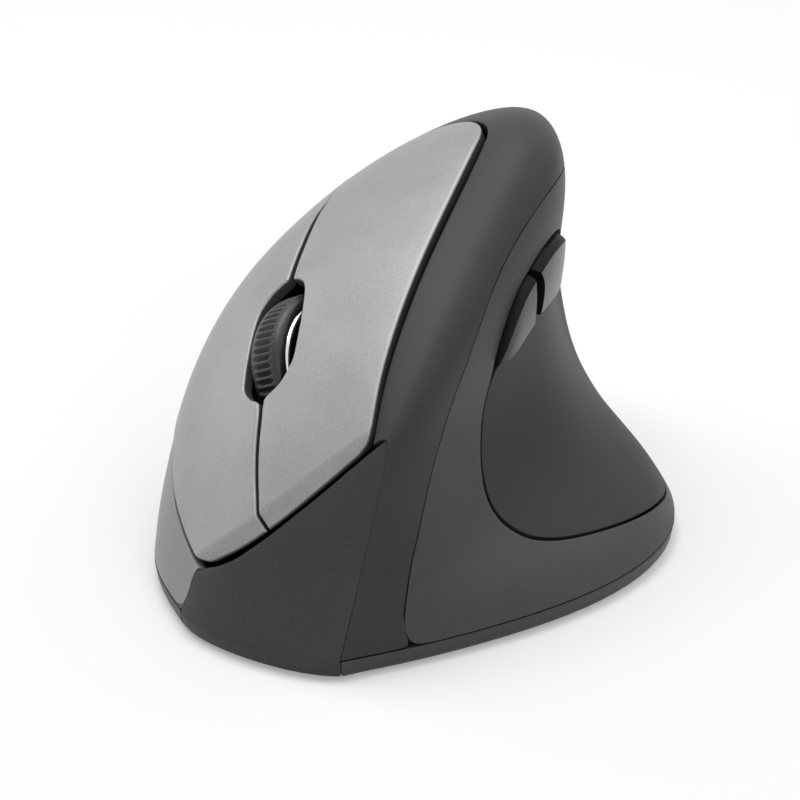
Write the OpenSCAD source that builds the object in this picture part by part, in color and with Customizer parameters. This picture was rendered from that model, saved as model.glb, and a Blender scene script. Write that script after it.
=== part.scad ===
// Right-handed vertical mouse, wireless, with two main buttons, a scroll wheel and two thumb buttons.
// Frame in mm: the nose faces -Y, the thumb side is +X, Z is up.
// The origin is on the table under the middle of the body.

// Node to build, or "all"

/* [Body] */
// Length of the body from nose to heel
body_length = 108; // [100:0.5:120]
// Width of the body over the thumb wing
body_width = 80.8; // [74:0.2:90]
// Height of the crown above the table
body_height = 66; // [60:0.5:74]
// Wall of the outer shells
wall = 1.8; // [1.4:0.1:2.4]
// Height of the seam between the base and the shells
seam_z = 3.4; // [3:0.1:4.4]
// Joint line between the base and the shells
seam_gap = 0.2; // [0.15:0.05:0.4]
// Width of the rounded edge around the bottom
base_bevel = 0.7; // [0.4:0.1:1.2]
// Height of the upright rim above the rounded edge
base_rim = 0.5; // [0.3:0.1:1]
// Slack between two fixed shells
shell_gap = 0.3; // [0.2:0.05:0.6]

/* [Buttons] */
// Height of the main buttons above the ridge
panel_proud = 0.8; // [0.4:0.1:1.2]
// Height of the main buttons above the finger panel
panel_proud_low = 0.2; // [0:0.1:0.6]
// Depth of the main buttons' wall below the body's skin
panel_depth = 1.3; // [1:0.1:2]
// Drop of the bevel along the front lip
lip_drop = 1.2; // [0.6:0.1:1.6]
// Height of the thumb buttons above the thumb wall
thumb_button_rise = 1.7; // [1.2:0.1:2.4]
// Depth of the thumb buttons below the thumb wall
thumb_button_depth = 1.8; // [1.4:0.1:2.4]

/* [Wheel] */
// Radius of the tyre
wheel_radius = 12; // [10.5:0.1:12.6]
// Height of the tyre above the buttons
wheel_proud = 1.7; // [1.4:0.1:2.4]
// Width of the tyre
tyre_width = 6.4; // [5.6:0.1:6.6]
// Ribs around the tyre
tyre_ribs = 60; // [40:2:66]
// Depth of the grooves between the ribs
rib_depth = 0.5; // [0.3:0.05:0.8]
// Radius of the rim that carries the tyre
rim_radius = 9.4; // [8.4:0.1:9.8]
// Diameter of the wheel axle
axle_d = 2.4; // [2:0.1:3]
// Travel of the wheel when it is pressed
wheel_press = 0.5; // [0.3:0.05:0.6]

/* [Base] */
// Thickness of the glide feet
foot_thickness = 0.5; // [0.4:0.1:1]
// Width of a glide foot
foot_width = 5; // [4:0.5:6]
// Thickness of the circuit boards
board_thickness = 1.2; // [0.8:0.1:1.6]
// Height of the main board above the base
board_rise = 3.6; // [3.2:0.1:4.4]
// Travel of the power slider
power_travel = 2.5; // [2:0.1:3.5]

/* [Battery] */
// Diameter of the AA cell
cell_d = 14.5; // [14:0.1:14.5]
// Length of the AA cell
cell_length = 50.5; // [49.2:0.1:50.5]
// Slack around the cell
cell_gap = 0.3; // [0.2:0.05:0.5]
// Wall of the battery cradle
cradle_wall = 1.2; // [1:0.1:1.6]
// Width of the battery door's edge beyond the cradle
door_margin = 0.8; // [0.4:0.1:1.2]

/* [Fits] */
// Running clearance on a radius
running_gap = 0.05; // [0.02:0.01:0.1]
// Clearance beside a sliding piece
slide_gap = 0.3; // [0.2:0.05:0.5]
// Clearance between a switch plunger and what presses it
press_gap = 0.1; // [0.05:0.05:0.2]

/* [Hidden] */
$fn = 48;

// The body's skin is one cubic B-spline sheet. Each row of the net is a station from the front edge
// to the heel. The columns run from the finger side's base edge, over the ridge at column 6, to the
// thumb side's base edge.
net_centre = [0.754, 6.493];
net_size = [80.8, 108, 66];
net_seam = 3.4;
net = [
    [[-16.9, -41.8, 3.4], [-16, -40.6, 6.5], [-16, -38.8, 10], [-9.5, -40.4, 14], [-2.5, -40.6, 19.5],
     [5.8, -37.6, 27.5], [12.2, -33.4, 34.6], [14, -33.6, 34.6], [14, -35.4, 31], [13.6, -37.5, 25],
     [13, -39.6, 19], [12.5, -41.8, 13], [12, -44, 7.5], [11.6, -45.6, 3.4]],
    [[-29.4, -30.2, 3.4], [-29, -29.4, 7], [-27.8, -27.6, 12], [-24, -27, 19], [-15.5, -27.5, 28],
     [-3, -27, 36.5], [10.6, -25.5, 42], [16.2, -26.5, 41], [17.6, -27.6, 36], [17.6, -29, 28],
     [17.8, -31, 20.5], [18.8, -32.8, 13.5], [20.8, -34.2, 8], [21.8, -34.8, 3.4]],
    [[-35.4, -13.5, 3.4], [-35.8, -13, 8], [-35.6, -12, 13], [-33, -12, 23], [-24.8, -12, 36],
     [-9.5, -11.5, 47], [10, -10.5, 52], [17.4, -11, 50.5], [19.4, -11.5, 44], [18.6, -12, 34],
     [18, -12.5, 23.5], [23, -14, 13], [30.6, -16, 9], [34.4, -17, 3.4]],
    [[-38.8, 3, 3.4], [-39.8, 3, 9], [-39.4, 3, 15], [-36.5, 3, 27], [-27.8, 3, 41],
     [-11.6, 3.5, 53.4], [10.5, 4, 60.5], [18.2, 4, 59], [20.8, 3.5, 51.5], [19.6, 3, 39.5],
     [18, 2.5, 26], [25.5, 1, 13], [37, -0.5, 10], [41, -1, 3.4]],
    [[-39, 17, 3.4], [-40.2, 17, 9], [-40, 17, 16], [-37.5, 17.5, 29], [-28, 18, 43.2],
     [-10.8, 18, 57.8], [10, 18, 69], [18.6, 18, 67.8], [21.8, 17.5, 59], [19.6, 17, 44],
     [17.6, 16.5, 28.5], [25.5, 15.5, 14.5], [37.6, 15, 10.5], [42, 15, 3.4]],
    [[-36.5, 32, 3.4], [-38, 32.3, 9], [-38, 32.6, 16], [-35, 33, 28], [-27, 33.5, 43],
     [-12.2, 34.5, 57.4], [4, 35, 64.6], [10.6, 34.5, 62.5], [13.6, 34, 54], [12.4, 33.5, 41],
     [12.4, 32.5, 27.5], [18.6, 31.5, 14.5], [30.2, 30.8, 9.8], [34.8, 30.8, 3.4]],
    [[-30, 45.5, 3.4], [-31.5, 46, 9], [-31.5, 46.6, 15], [-28.5, 47.5, 24.5], [-22, 49, 36],
     [-12, 50.5, 45], [-1.5, 51, 49], [3, 50.6, 48], [5, 50, 42], [5.4, 49, 33],
     [6.6, 47.6, 23], [11, 46, 13.6], [17.4, 44.8, 8], [20.4, 44.2, 3.4]],
    [[-22.5, 53, 3.4], [-22, 54.2, 7.4], [-20.5, 55, 11], [-17, 56.2, 16], [-12.5, 57.6, 20.5],
     [-7.5, 58.6, 23.5], [-3, 58.8, 24.5], [0.5, 58.6, 24], [3, 58, 21.5], [5, 57.2, 18.2],
     [7, 56, 14], [9.4, 54.6, 10.2], [12, 53.4, 6.8], [13.6, 52.8, 3.4]],
    [[-16, 57, 3.4], [-14, 58, 3.4], [-12, 58.8, 3.4], [-9.6, 59.4, 3.4], [-7.2, 59.9, 3.4],
     [-4.8, 60.2, 3.4], [-2.4, 60.3, 3.4], [0, 60.2, 3.4], [2, 59.9, 3.4], [3.8, 59.5, 3.4],
     [5.6, 58.9, 3.4], [7.4, 58.1, 3.4], [9, 57.2, 3.4], [10.4, 56.1, 3.4]]];
last_column = len(net[0]) - 1;
last_row = len(net) - 1;

// Control points of the front base edge, between the finger seam and the thumb corner
nose_points = [[-12, -46.6, 3.4], [5, -49.2, 3.4]];

function sized(p) = [
    (p.x - net_centre.x) * body_width / net_size.x,
    (p.y - net_centre.y) * body_length / net_size.y,
    seam_z + (p.z - net_seam) * (body_height - seam_z) / (net_size.z - net_seam)];
// Place on the base, given at the drawn size and carried along when the body is resized
function placed(p) = [p.x * body_width / net_size.x, p.y * body_length / net_size.y];
function padded(c) = concat([2 * c[0] - c[1]], c, [2 * c[len(c) - 1] - c[len(c) - 2]]);
sheet = padded([for (row = net) padded([for (p = row) sized(p)])]);

function unit(a) = a / norm(a);
function mix(a, b, t) = a + (b - a) * t;
function spread(f) = [pow(1 - f, 3), 3 * pow(f, 3) - 6 * f * f + 4, 1 + 3 * f + 3 * f * f - 3 * pow(f, 3),
    pow(f, 3)] / 6;
function spread_slope(f) = [-pow(1 - f, 2), 3 * f * f - 4 * f, 1 + 2 * f - 3 * f * f, f * f] / 2;
function cell(t, last) = min(floor(t), last - 1);
function inside(t, last) = min(max(t, 0), last);
function blend(i, j, across, along) =
    along * [for (a = [0:3]) across * [for (b = [0:3]) sheet[j + a][i + b]]];

// Point and outward normal of the skin at net coordinates
function skin(uv) =
    let (u = inside(uv[0], last_column), v = inside(uv[1], last_row))
    let (i = cell(u, last_column), j = cell(v, last_row), fu = u - i, fv = v - j)
    [blend(i, j, spread(fu), spread(fv)),
     unit(cross(blend(i, j, spread_slope(fu), spread(fv)), blend(i, j, spread(fu), spread_slope(fv))))];
function at(u, v) = skin([u, v])[0];

// Rows of a shell are [u, v] of one edge, [u, v] of the other edge and a drop below the shell's own height
function knot(rows, i, closed) = let (n = len(rows))
    closed ? rows[(i + n) % n]
    : i < 0 ? 2 * rows[0] - rows[1]
    : i >= n ? 2 * rows[n - 1] - rows[n - 2] : rows[i];
function between(a, b, c, d, t) =
    (2 * b + (c - a) * t + (2 * a - 5 * b + 4 * c - d) * t * t + (3 * b - a - 3 * c + d) * t * t * t) / 2;
function refined(rows, steps, closed = false) =
    let (spans = closed ? len(rows) : len(rows) - 1)
    concat(
        [for (i = [0:spans - 1]) for (s = [0:steps - 1])
            let (t = s / steps, a = knot(rows, i - 1, closed), b = rows[i], c = knot(rows, i + 1, closed),
                d = knot(rows, i + 2, closed), p = between(a, b, c, d, t))
            [p[0], p[1], p[2], p[3], mix(b[4], c[4], t)]],
        closed ? [] : [rows[len(rows) - 1]]);

// Closed solid of two grids of the same size, an outer and an inner one
module thick(outer, inner, closed = false) {
    n = len(outer);
    m = len(outer[0]);
    spans = closed ? n : n - 1;
    points = concat([for (row = outer) each row], [for (row = inner) each row]);
    shift = n * m;
    function quad(a, b, c, d) = [[a, b, c], [a, c, d]];
    outer_faces = [for (i = [0:spans - 1]) for (j = [0:m - 2])
        let (k = (i + 1) % n) each quad(i * m + j, k * m + j, k * m + j + 1, i * m + j + 1)];
    inner_faces = [for (f = outer_faces) [f[2] + shift, f[1] + shift, f[0] + shift]];
    side_faces = [for (i = [0:spans - 1]) let (a = i * m, b = ((i + 1) % n) * m, e = m - 1)
        each concat(quad(a, a + shift, b + shift, b), quad(a + e, b + e, b + e + shift, a + e + shift))];
    end_faces = closed ? [] : [for (j = [0:m - 2]) let (z = (n - 1) * m)
        each concat(quad(j, j + 1, j + 1 + shift, j + shift),
            quad(z + j, z + j + shift, z + j + 1 + shift, z + j + 1))];
    polyhedron(points, concat(outer_faces, inner_faces, side_faces, end_faces));
}

function row_uv(row, j, columns) = mix([row[0], row[1]], [row[2], row[3]], j / columns);
function above_seam(p) = [p.x, p.y, max(p.z, seam_z)];

// Shell on the skin between the two edges of its rows
module shell(rows, steps, columns, proud = 0, proud_low = 0, depth = wall, closed = false) {
    fine = refined(rows, steps, closed);
    spots = [for (row = fine) [for (j = [0:columns])
        let (uv = row_uv(row, j, columns), s = skin(uv),
            lift = mix(proud_low, proud, inside((uv[0] - 2) / 4, 1)) - row[4])
        [above_seam(s[0] + s[1] * lift), above_seam(s[0] - s[1] * depth)]]];
    thick([for (r = spots) [for (s = r) s[0]]], [for (r = spots) [for (s = r) s[1]]], closed);
}

// Main buttons: the split between them bends around the wheel's slot, half a gap each side
split_half = 0.021;
ridge = 6;
ridge_half = 0.028;
panel_ridge = ridge - ridge_half;
primary_rows = [
    [3.87 + split_half, 0.02, 5.62, 0.045, lip_drop],
    [3.872 + split_half, 0.07, 5.8, 0.065, 0.7 * lip_drop],
    [3.878 + split_half, 0.12, 5.91, 0.11, 0.3 * lip_drop],
    [3.89 + split_half, 0.17, 5.955, 0.18, 0],
    [4 + split_half, 0.34, panel_ridge, 0.34, 0],
    [4.28 + split_half, 0.85, panel_ridge, 0.82, 0],
    [4.36 + split_half, 1.03, panel_ridge, 1, 0],
    [4.4 + split_half, 1.1, panel_ridge, 1.07, 0],
    [4.52, 1.13, panel_ridge, 1.13, 0],
    [4.64, 1.175, panel_ridge, 1.2, 0],
    [4.745, 1.27, panel_ridge, 1.3, 0],
    [4.82, 1.39, panel_ridge, 1.42, 0],
    [4.862, 1.63, panel_ridge, 1.64, 0],
    [4.872, 1.84, panel_ridge, 1.84, 0],
    [4.857, 2.04, panel_ridge, 2.02, 0],
    [4.82, 2.16, panel_ridge, 2.14, 0],
    [4.75, 2.235, panel_ridge, 2.24, 0],
    [4.67 + split_half, 2.265, panel_ridge, 2.3, 0],
    [4.66 + split_half, 2.33, panel_ridge, 2.38, 0],
    [4.645 + split_half, 2.8, panel_ridge, 2.8, 0],
    [4.585 + split_half, 3.35, panel_ridge, 3.3, 0],
    [4.56 + split_half, 3.72, panel_ridge, 3.56, 0],
    [4.55 + split_half, 3.96, 5.963, 3.74, 0.1],
    [4.55 + split_half, 4.14, 5.91, 3.91, 0.2],
    [4.55 + split_half, 4.28, 5.79, 4.07, 0.3],
    [4.55 + split_half, 4.39, 5.6, 4.22, 0.4],
    [4.55 + split_half, 4.48, 5.36, 4.36, 0.5]];
secondary_rows = [
    [2.5, 0, 3.87 - split_half, 0.02, lip_drop],
    [2.31, 0.02, 3.872 - split_half, 0.07, 0.7 * lip_drop],
    [2.18, 0.07, 3.878 - split_half, 0.12, 0.3 * lip_drop],
    [2.1, 0.14, 3.89 - split_half, 0.17, 0],
    [2.13, 0.35, 4 - split_half, 0.34, 0],
    [2.27, 0.85, 4.28 - split_half, 0.85, 0],
    [2.32, 1.03, 4.36 - split_half, 1.03, 0],
    [2.345, 1.11, 4.36 - split_half, 1.11, 0],
    [2.37, 1.18, 4.235, 1.185, 0],
    [2.4, 1.28, 4.17, 1.3, 0],
    [2.43, 1.42, 4.195, 1.43, 0],
    [2.46, 1.62, 4.248, 1.62, 0],
    [2.45, 1.9, 4.31, 1.9, 0],
    [2.43, 2.06, 4.36, 2.06, 0],
    [2.42, 2.2, 4.45, 2.185, 0],
    [2.41, 2.3, 4.56, 2.255, 0],
    [2.4, 2.36, 4.645 - split_half, 2.29, 0],
    [2.4, 2.42, 4.66 - split_half, 2.36, 0],
    [2.4, 2.82, 4.645 - split_half, 2.8, 0],
    [2.4, 3.35, 4.585 - split_half, 3.35, 0],
    [2.4, 3.95, 4.55 - split_half, 3.95, 0.1],
    [2.41, 4.28, 4.55 - split_half, 4.3, 0.25],
    [2.46, 4.42, 4.55 - split_half, 4.48, 0.4]];

// Skirt below the secondary button, from the front seam round to the heel
finger_rows = [
    [0.55, 0.014, 1.94, 0.014, 0],
    [0.26, 0.03, 1.94, 0.05, 0],
    [0.1, 0.07, 1.945, 0.1, 0],
    [0.02, 0.14, 1.96, 0.17, 0],
    [0, 0.35, 2.02, 0.35, 0],
    [0, 0.88, 2.18, 0.88, 0],
    [0, 1.3, 2.33, 1.3, 0],
    [0, 1.7, 2.39, 1.7, 0],
    [0, 2.4, 2.34, 2.4, 0],
    [0, 3.4, 2.34, 3.4, 0],
    [0, 4.2, 2.36, 4.2, 0],
    [0, 5.3, 2.34, 5.3, 0],
    [0, 6.4, 2.26, 6.4, 0],
    [0, 7.4, 2.2, 7.4, 0],
    [0, 8, 2.18, 8, 0]];

// Ridge band and palm in one shell: edge one follows the buttons, edge two the thumb panel
shell_ridge = ridge + ridge_half;
main_rows = [
    [shell_ridge, 0.014, 13, 0.014, 0],
    [shell_ridge, 0.14, 13, 0.3, 0],
    [shell_ridge, 0.26, 13, 0.55, 0],
    [shell_ridge, 0.36, 12.93, 0.7, 0],
    [shell_ridge, 0.46, 12.45, 0.675, 0],
    [shell_ridge, 0.56, 11.8, 0.68, 0],
    [shell_ridge, 0.7, 10.85, 0.8, 0],
    [shell_ridge, 0.86, 10.1, 0.97, 0],
    [shell_ridge, 1.05, 9.12, 1.18, 0],
    [shell_ridge, 1.25, 8.5, 1.4, 0],
    [shell_ridge, 1.5, 8.08, 1.7, 0],
    [shell_ridge, 1.75, 7.83, 1.92, 0],
    [shell_ridge, 2.05, 7.6, 2.2, 0],
    [shell_ridge, 2.4, 7.47, 2.5, 0],
    [shell_ridge, 2.8, 7.46, 2.9, 0],
    [shell_ridge, 3.15, 7.53, 3.25, 0],
    [shell_ridge, 3.45, 7.62, 3.6, 0],
    [6.022, 3.62, 7.67, 3.75, 0],
    [6.012, 3.78, 7.71, 3.92, 0],
    [5.955, 3.95, 7.75, 4.1, 0],
    [5.83, 4.12, 7.79, 4.35, 0],
    [5.63, 4.28, 7.83, 4.6, 0],
    [5.37, 4.42, 7.86, 4.8, 0],
    [4.76, 4.54, 7.9, 5.05, 0],
    [3.7, 4.53, 7.95, 5.3, 0],
    [2.75, 4.49, 8, 5.55, 0],
    [2.44, 4.52, 8.05, 5.75, 0],
    [2.4, 5, 8.1, 6.05, 0],
    [2.38, 5.5, 8.2, 6.4, 0],
    [2.33, 6.2, 8.33, 6.8, 0],
    [2.28, 7, 8.48, 7.3, 0],
    [2.24, 7.6, 8.65, 7.7, 0],
    [2.22, 8, 8.78, 8, 0]];

// Thumb panel: a closed ring around the thumb rest and the thumb buttons
thumb_rows = [
    [8.1, 1.72, 9.33, 2.2, 0],
    [7.85, 1.94, 9.1, 2.28, 0],
    [7.62, 2.22, 8.87, 2.335, 0],
    [7.5, 2.52, 8.6, 2.44, 0],
    [7.485, 2.75, 8.36, 2.61, 0],
    [7.505, 2.98, 8.24, 2.83, 0],
    [7.56, 3.27, 8.24, 3.2, 0],
    [7.645, 3.57, 8.3, 3.5, 0],
    [7.73, 3.87, 8.41, 3.83, 0],
    [7.8, 4.22, 8.58, 4.12, 0],
    [7.86, 4.62, 8.8, 4.4, 0],
    [7.94, 5.1, 8.89, 4.78, 0],
    [8.03, 5.57, 8.87, 5.25, 0],
    [8.13, 6, 8.83, 5.7, 0],
    [8.25, 6.42, 8.82, 6.1, 0],
    [8.4, 6.87, 8.84, 6.5, 0],
    [8.58, 7.32, 8.95, 6.8, 0],
    [8.75, 7.7, 9.15, 6.95, 0],
    [8.9, 8, 9.4, 7, 0],
    [9.8, 8, 9.9, 7, 0],
    [11, 8, 10.6, 6.95, 0],
    [12.3, 8, 11.3, 6.82, 0],
    [13, 8, 11.9, 6.6, 0],
    [13, 7.4, 12.33, 6.23, 0],
    [13, 6.7, 12.6, 5.76, 0],
    [13, 6, 12.74, 5.28, 0],
    [13, 5.3, 12.76, 4.78, 0],
    [13, 4.7, 12.66, 4.36, 0],
    [13, 4.2, 12.52, 4.05, 0],
    [13, 3.7, 12.34, 3.63, 0],
    [13, 3.2, 12.14, 3.16, 0],
    [13, 2.7, 11.95, 2.75, 0],
    [13, 2.25, 11.77, 2.45, 0],
    [13, 1.75, 11.53, 2.23, 0],
    [13, 1.2, 11.2, 2.1, 0],
    [12.95, 0.8, 10.85, 2.03, 0],
    [12.5, 0.69, 10.5, 2.02, 0],
    [11.8, 0.7, 10.2, 2.06, 0],
    [10.87, 0.82, 9.95, 2.1, 0],
    [10.12, 0.99, 9.78, 2.125, 0],
    [9.14, 1.2, 9.62, 2.145, 0],
    [8.52, 1.42, 9.46, 2.17, 0]];

// Rubber thumb rest in the scoop, below the thumb buttons
rest_rows = [
    [9.06, 2.42, 9.2, 2.3, 0],
    [9.07, 2.53, 9.45, 2.225, 0],
    [9.08, 2.65, 9.8, 2.17, 0],
    [9.09, 2.78, 10.2, 2.105, 0],
    [9.09, 2.92, 10.53, 2.075, 0],
    [9.09, 3.06, 10.84, 2.085, 0],
    [9.1, 3.2, 11.17, 2.16, 0],
    [9.13, 3.34, 11.48, 2.29, 0],
    [9.17, 3.5, 11.71, 2.5, 0],
    [9.21, 3.66, 11.89, 2.79, 0],
    [9.23, 3.82, 12.08, 3.2, 0],
    [9.23, 3.98, 12.28, 3.67, 0],
    [9.21, 4.15, 12.46, 4.09, 0],
    [9.15, 4.33, 12.6, 4.4, 0],
    [9.05, 4.55, 12.7, 4.8, 0],
    [8.96, 4.85, 12.68, 5.26, 0],
    [8.91, 5.25, 12.54, 5.72, 0],
    [8.88, 5.7, 12.28, 6.18, 0],
    [8.88, 6.1, 11.86, 6.54, 0],
    [8.92, 6.46, 11.28, 6.76, 0],
    [9.03, 6.74, 10.6, 6.89, 0],
    [9.2, 6.88, 9.92, 6.94, 0]];
forward_rows = [
    [8.92, 2.38, 8.96, 2.42, 0],
    [8.67, 2.47, 8.99, 2.52, 0],
    [8.42, 2.62, 9, 2.64, 0],
    [8.3, 2.78, 9, 2.78, 0],
    [8.28, 2.89, 9, 2.92, 0],
    [8.28, 2.98, 9, 3.05, 0]];
back_rows = [
    [8.28, 3.06, 8.99, 3.2, 0],
    [8.285, 3.23, 9.04, 3.38, 0],
    [8.325, 3.46, 9.09, 3.58, 0],
    [8.42, 3.73, 9.13, 3.8, 0],
    [8.55, 3.96, 9.13, 4.02, 0],
    [8.78, 4.16, 9.02, 4.18, 0]];

// Plate behind the thumb buttons that closes the opening around them
bezel_rows = [
    [8.8, 2.26, 9.35, 2.22, 0],
    [8.5, 2.36, 9.4, 2.4, 0],
    [8.2, 2.6, 9.4, 2.65, 0],
    [8.1, 2.9, 9.4, 2.95, 0],
    [8.1, 3.25, 9.4, 3.3, 0],
    [8.15, 3.6, 9.42, 3.7, 0],
    [8.28, 3.95, 9.45, 4.1, 0],
    [8.5, 4.3, 9.4, 4.45, 0],
    [8.75, 4.55, 9.2, 4.7, 0]];

// Thumb button: its edges are rounded over and its middle stands proud of the wall
module thumb_button(rows, steps, columns, tip, notch) {
    fine = refined(rows, steps);
    last = len(fine) - 1;
    rounded_share = 0.34;
    bevel_share = 0.125;
    // The end away from the tip is cut back in its middle by the notch
    function spot(i, j) = let (b = j / columns, end = max(1 - 3 * abs(i / last - 1 + tip), 0))
        skin(row_uv(fine[i], j, columns) + [0, 4 * notch * b * (1 - b) * end]);
    function across(b) = b < bevel_share ? mix(0.35, 0.8, b / bevel_share) : mix(0.8, 1, b);
    function along(a) = 0.4 + 0.6 * sqrt(1 - pow(1 - inside(abs(a - tip) / rounded_share, 1), 2));
    thick(
        [for (i = [0:last]) [for (j = [0:columns])
            let (s = spot(i, j)) s[0] + s[1] * thumb_button_rise * across(j / columns) * along(i / last)]],
        [for (i = [0:last]) [for (j = [0:columns])
            let (s = spot(i, j)) s[0] - s[1] * thumb_button_depth]]);
}

// Front cover: a patch between the lip, the base edge, the finger seam and the thumb corner
lip_columns = [2, ridge];
function nose(s) = pow(1 - s, 3) * at(0, 0) + 3 * pow(1 - s, 2) * s * sized(nose_points[0])
    + 3 * (1 - s) * s * s * sized(nose_points[1]) + pow(s, 3) * at(last_column, 0);
function lip(s) = at(mix(lip_columns[0], lip_columns[1], s), 0);
function finger_seam(t) = at(lip_columns[0] * t, 0);
function thumb_corner(t) = at(mix(last_column, ridge, t), 0);
function face(s, t) = mix(nose(s), lip(s), t) + mix(finger_seam(t), thumb_corner(t), s)
    - mix(mix(nose(0), nose(1), s), mix(lip(0), lip(1), s), t);
function face_normal(s, t) = let (e = 0.01, a = inside(s, 1 - e), b = inside(t, 1 - e))
    unit(cross(face(a + e, b) - face(a, b), face(a, b + e) - face(a, b)));
// Space below the lip, which the buttons need to move: place along the lip and height
lip_gaps = [[0, 0.9], [0.1, 1.9], [0.2, 2.8], [0.3, 3.3], [0.45, 3.1], [0.6, 2.6], [0.8, 2.4], [1, 2.3]];
// The cover's top edge slopes down to the inside
lip_chamfer = 1;
cover_edge = 0.005;
cover_miter = 0.09;
cover_columns = 24;
cover_rows = 12;
function cover_s(j, edge) = mix(edge, 1 - edge, j / cover_columns);
function cover_t(s, i, below) = (1 - below / norm(lip(s) - nose(s))) * i / cover_rows;
function flat_unit(a) = unit([a.x, a.y, 0]);
module front_cover() {
    edge = [0:len(edge_steps) - 1];
    function skirt(s, k, depth) = let (p = nose(s), n = flat_unit(face_normal(s, 0)))
        [p.x, p.y, edge_z(k)] - n * depth;
    outer = concat(
        [for (k = edge) [for (j = [0:cover_columns]) skirt(cover_s(j, cover_edge), k, edge_inset(k))]],
        [for (i = [0:cover_rows]) [for (j = [0:cover_columns])
            let (s = cover_s(j, cover_edge)) face(s, cover_t(s, i, lookup(s, lip_gaps)))]]);
    inner = concat(
        [for (k = edge) [for (j = [0:cover_columns]) skirt(cover_s(j, cover_miter), k, wall)]],
        [for (i = [0:cover_rows]) [for (j = [0:cover_columns])
            let (s = cover_s(j, cover_miter), t = cover_t(s, i, lookup(s, lip_gaps) + lip_chamfer),
                n = face_normal(s, t))
            face(s, t) - wall * (i == 0 ? flat_unit(n) : n)]]);
    color("#3b3c3e") thick(outer, inner);
}

// Outline of the base at the seam, from the finger seam round the heel to the thumb corner and the nose
side_steps = 40;
heel_steps = 18;
nose_steps = 16;
// The base steps back behind the front cover
nose_setback = wall + shell_gap + 0.2;
base_outline = concat(
    [for (k = [0:side_steps - 1]) at(0, mix(0.03, last_row, k / side_steps))],
    [for (k = [0:heel_steps - 1]) at(last_column * k / heel_steps, last_row)],
    [for (k = [0:side_steps]) at(last_column, mix(last_row, 0.015, k / side_steps))],
    [for (k = [0:nose_steps]) let (s = mix(0.93, 0.07, k / nose_steps))
        nose(s) - flat_unit(face_normal(s, 0)) * nose_setback]);
function turn_normal(k) = let (n = len(base_outline), a = base_outline[(k + n - 1) % n],
    b = base_outline[(k + 1) % n], d = unit(b - a)) [-d.y, d.x, 0];
base_low = foot_thickness;
base_top = seam_z - seam_gap;
// Steps of the rounded bottom edge: share of its height and share of its width
edge_steps = [[0, 1], [0.25, 0.45], [1, 0]];
function edge_z(k) = mix(base_low, base_top - base_rim, edge_steps[k][0]);
function edge_inset(k) = base_bevel * edge_steps[k][1];
module base_slab() {
    n = len(base_outline);
    steps = len(edge_steps);
    edge = [for (k = [0:steps - 1]) each [for (q = [0:n - 1])
        let (p = base_outline[q] - turn_normal(q) * edge_inset(k)) [p.x, p.y, edge_z(k)]]];
    high = [for (p = base_outline) [p.x, p.y, base_top]];
    points = concat([[0, 0, base_low]], edge, high, [[0, 0, base_top]]);
    top = 1 + steps * n;
    polyhedron(points, concat(
        [for (k = [0:n - 1]) [0, 1 + (k + 1) % n, 1 + k]],
        [for (i = [0:steps - 1]) for (k = [0:n - 1]) let (a = 1 + i * n, b = a + n, m = (k + 1) % n)
            each [[a + k, b + m, b + k], [a + k, a + m, b + m]]],
        [for (k = [0:n - 1]) [top + n, top + k, top + (k + 1) % n]]));
}

// Battery bay, lengthwise on the finger side, with a door that slides out over the heel
bay_at = placed([-12.6, 14]);
spring_room = 3.2;
plate_room = 0.6;
bay_half_x = cell_d / 2 + cell_gap;
bay_half_y = (cell_length + spring_room + plate_room) / 2;
cell_front = bay_at.y - bay_half_y + spring_room;
cell_z = base_top + cell_gap + cell_d / 2;
door_half_x = bay_half_x + cradle_wall + door_margin;
door_front = bay_at.y - bay_half_y - cradle_wall - door_margin;
door_top = base_top - slide_gap;
// Tongues on the door's edges and the grooves for them in the base
tongue = 0.8;
tongue_z = [1.6, 2.2];
cut = 1;
module block(low, high) translate(low) cube(high - low);
module door_region(high, extra) {
    reach = door_half_x + extra;
    block([bay_at.x - reach, door_front - extra, base_low - cut],
        [bay_at.x + reach, body_length, high]);
    block([bay_at.x - reach - tongue, door_front - tongue - extra, tongue_z[0] - extra],
        [bay_at.x + reach + tongue, body_length, tongue_z[1] + extra]);
}
module battery_door() {
    color("#2c2d2f") intersection() {
        base_slab();
        door_region(door_top, 0);
    }
}
module battery() {
    nub_d = 5.5;
    nub_length = 1;
    color("#8a9a5b") translate([bay_at.x, cell_front, cell_z]) rotate([-90, 0, 0]) {
        cylinder(d = cell_d, h = cell_length - nub_length);
        cylinder(d = nub_d, h = cell_length);
    }
}
flange_width = 2;
flange_height = 1.2;
arch_step = 15;
function arch(half, low) = concat([[half, low]],
    [for (a = [0:arch_step:180]) [half * cos(a), cell_z + half * sin(a)]], [[-half, low]]);
module vault(half_x, half_y, low) {
    translate([bay_at.x, bay_at.y + half_y, 0]) rotate([90, 0, 0])
        linear_extrude(2 * half_y) polygon(arch(half_x, low));
}
module battery_cradle() {
    half_x = bay_half_x + cradle_wall;
    half_y = bay_half_y + cradle_wall;
    color("#26282a") difference() {
        union() {
            vault(half_x, half_y, base_top);
            block([bay_at.x - half_x - flange_width, bay_at.y - half_y - flange_width, base_top],
                [bay_at.x + half_x + flange_width, bay_at.y, base_top + flange_height]);
        }
        vault(bay_half_x, bay_half_y, base_top - cut);
    }
}
contact_thickness = 0.4;
contact_half = 4.5;
module contact_plate() {
    rear = bay_at.y + bay_half_y;
    color("#c9b46a") block([bay_at.x - contact_half, rear - contact_thickness, cell_z - contact_half],
        [bay_at.x + contact_half, rear, cell_z + contact_half]);
}
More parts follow.
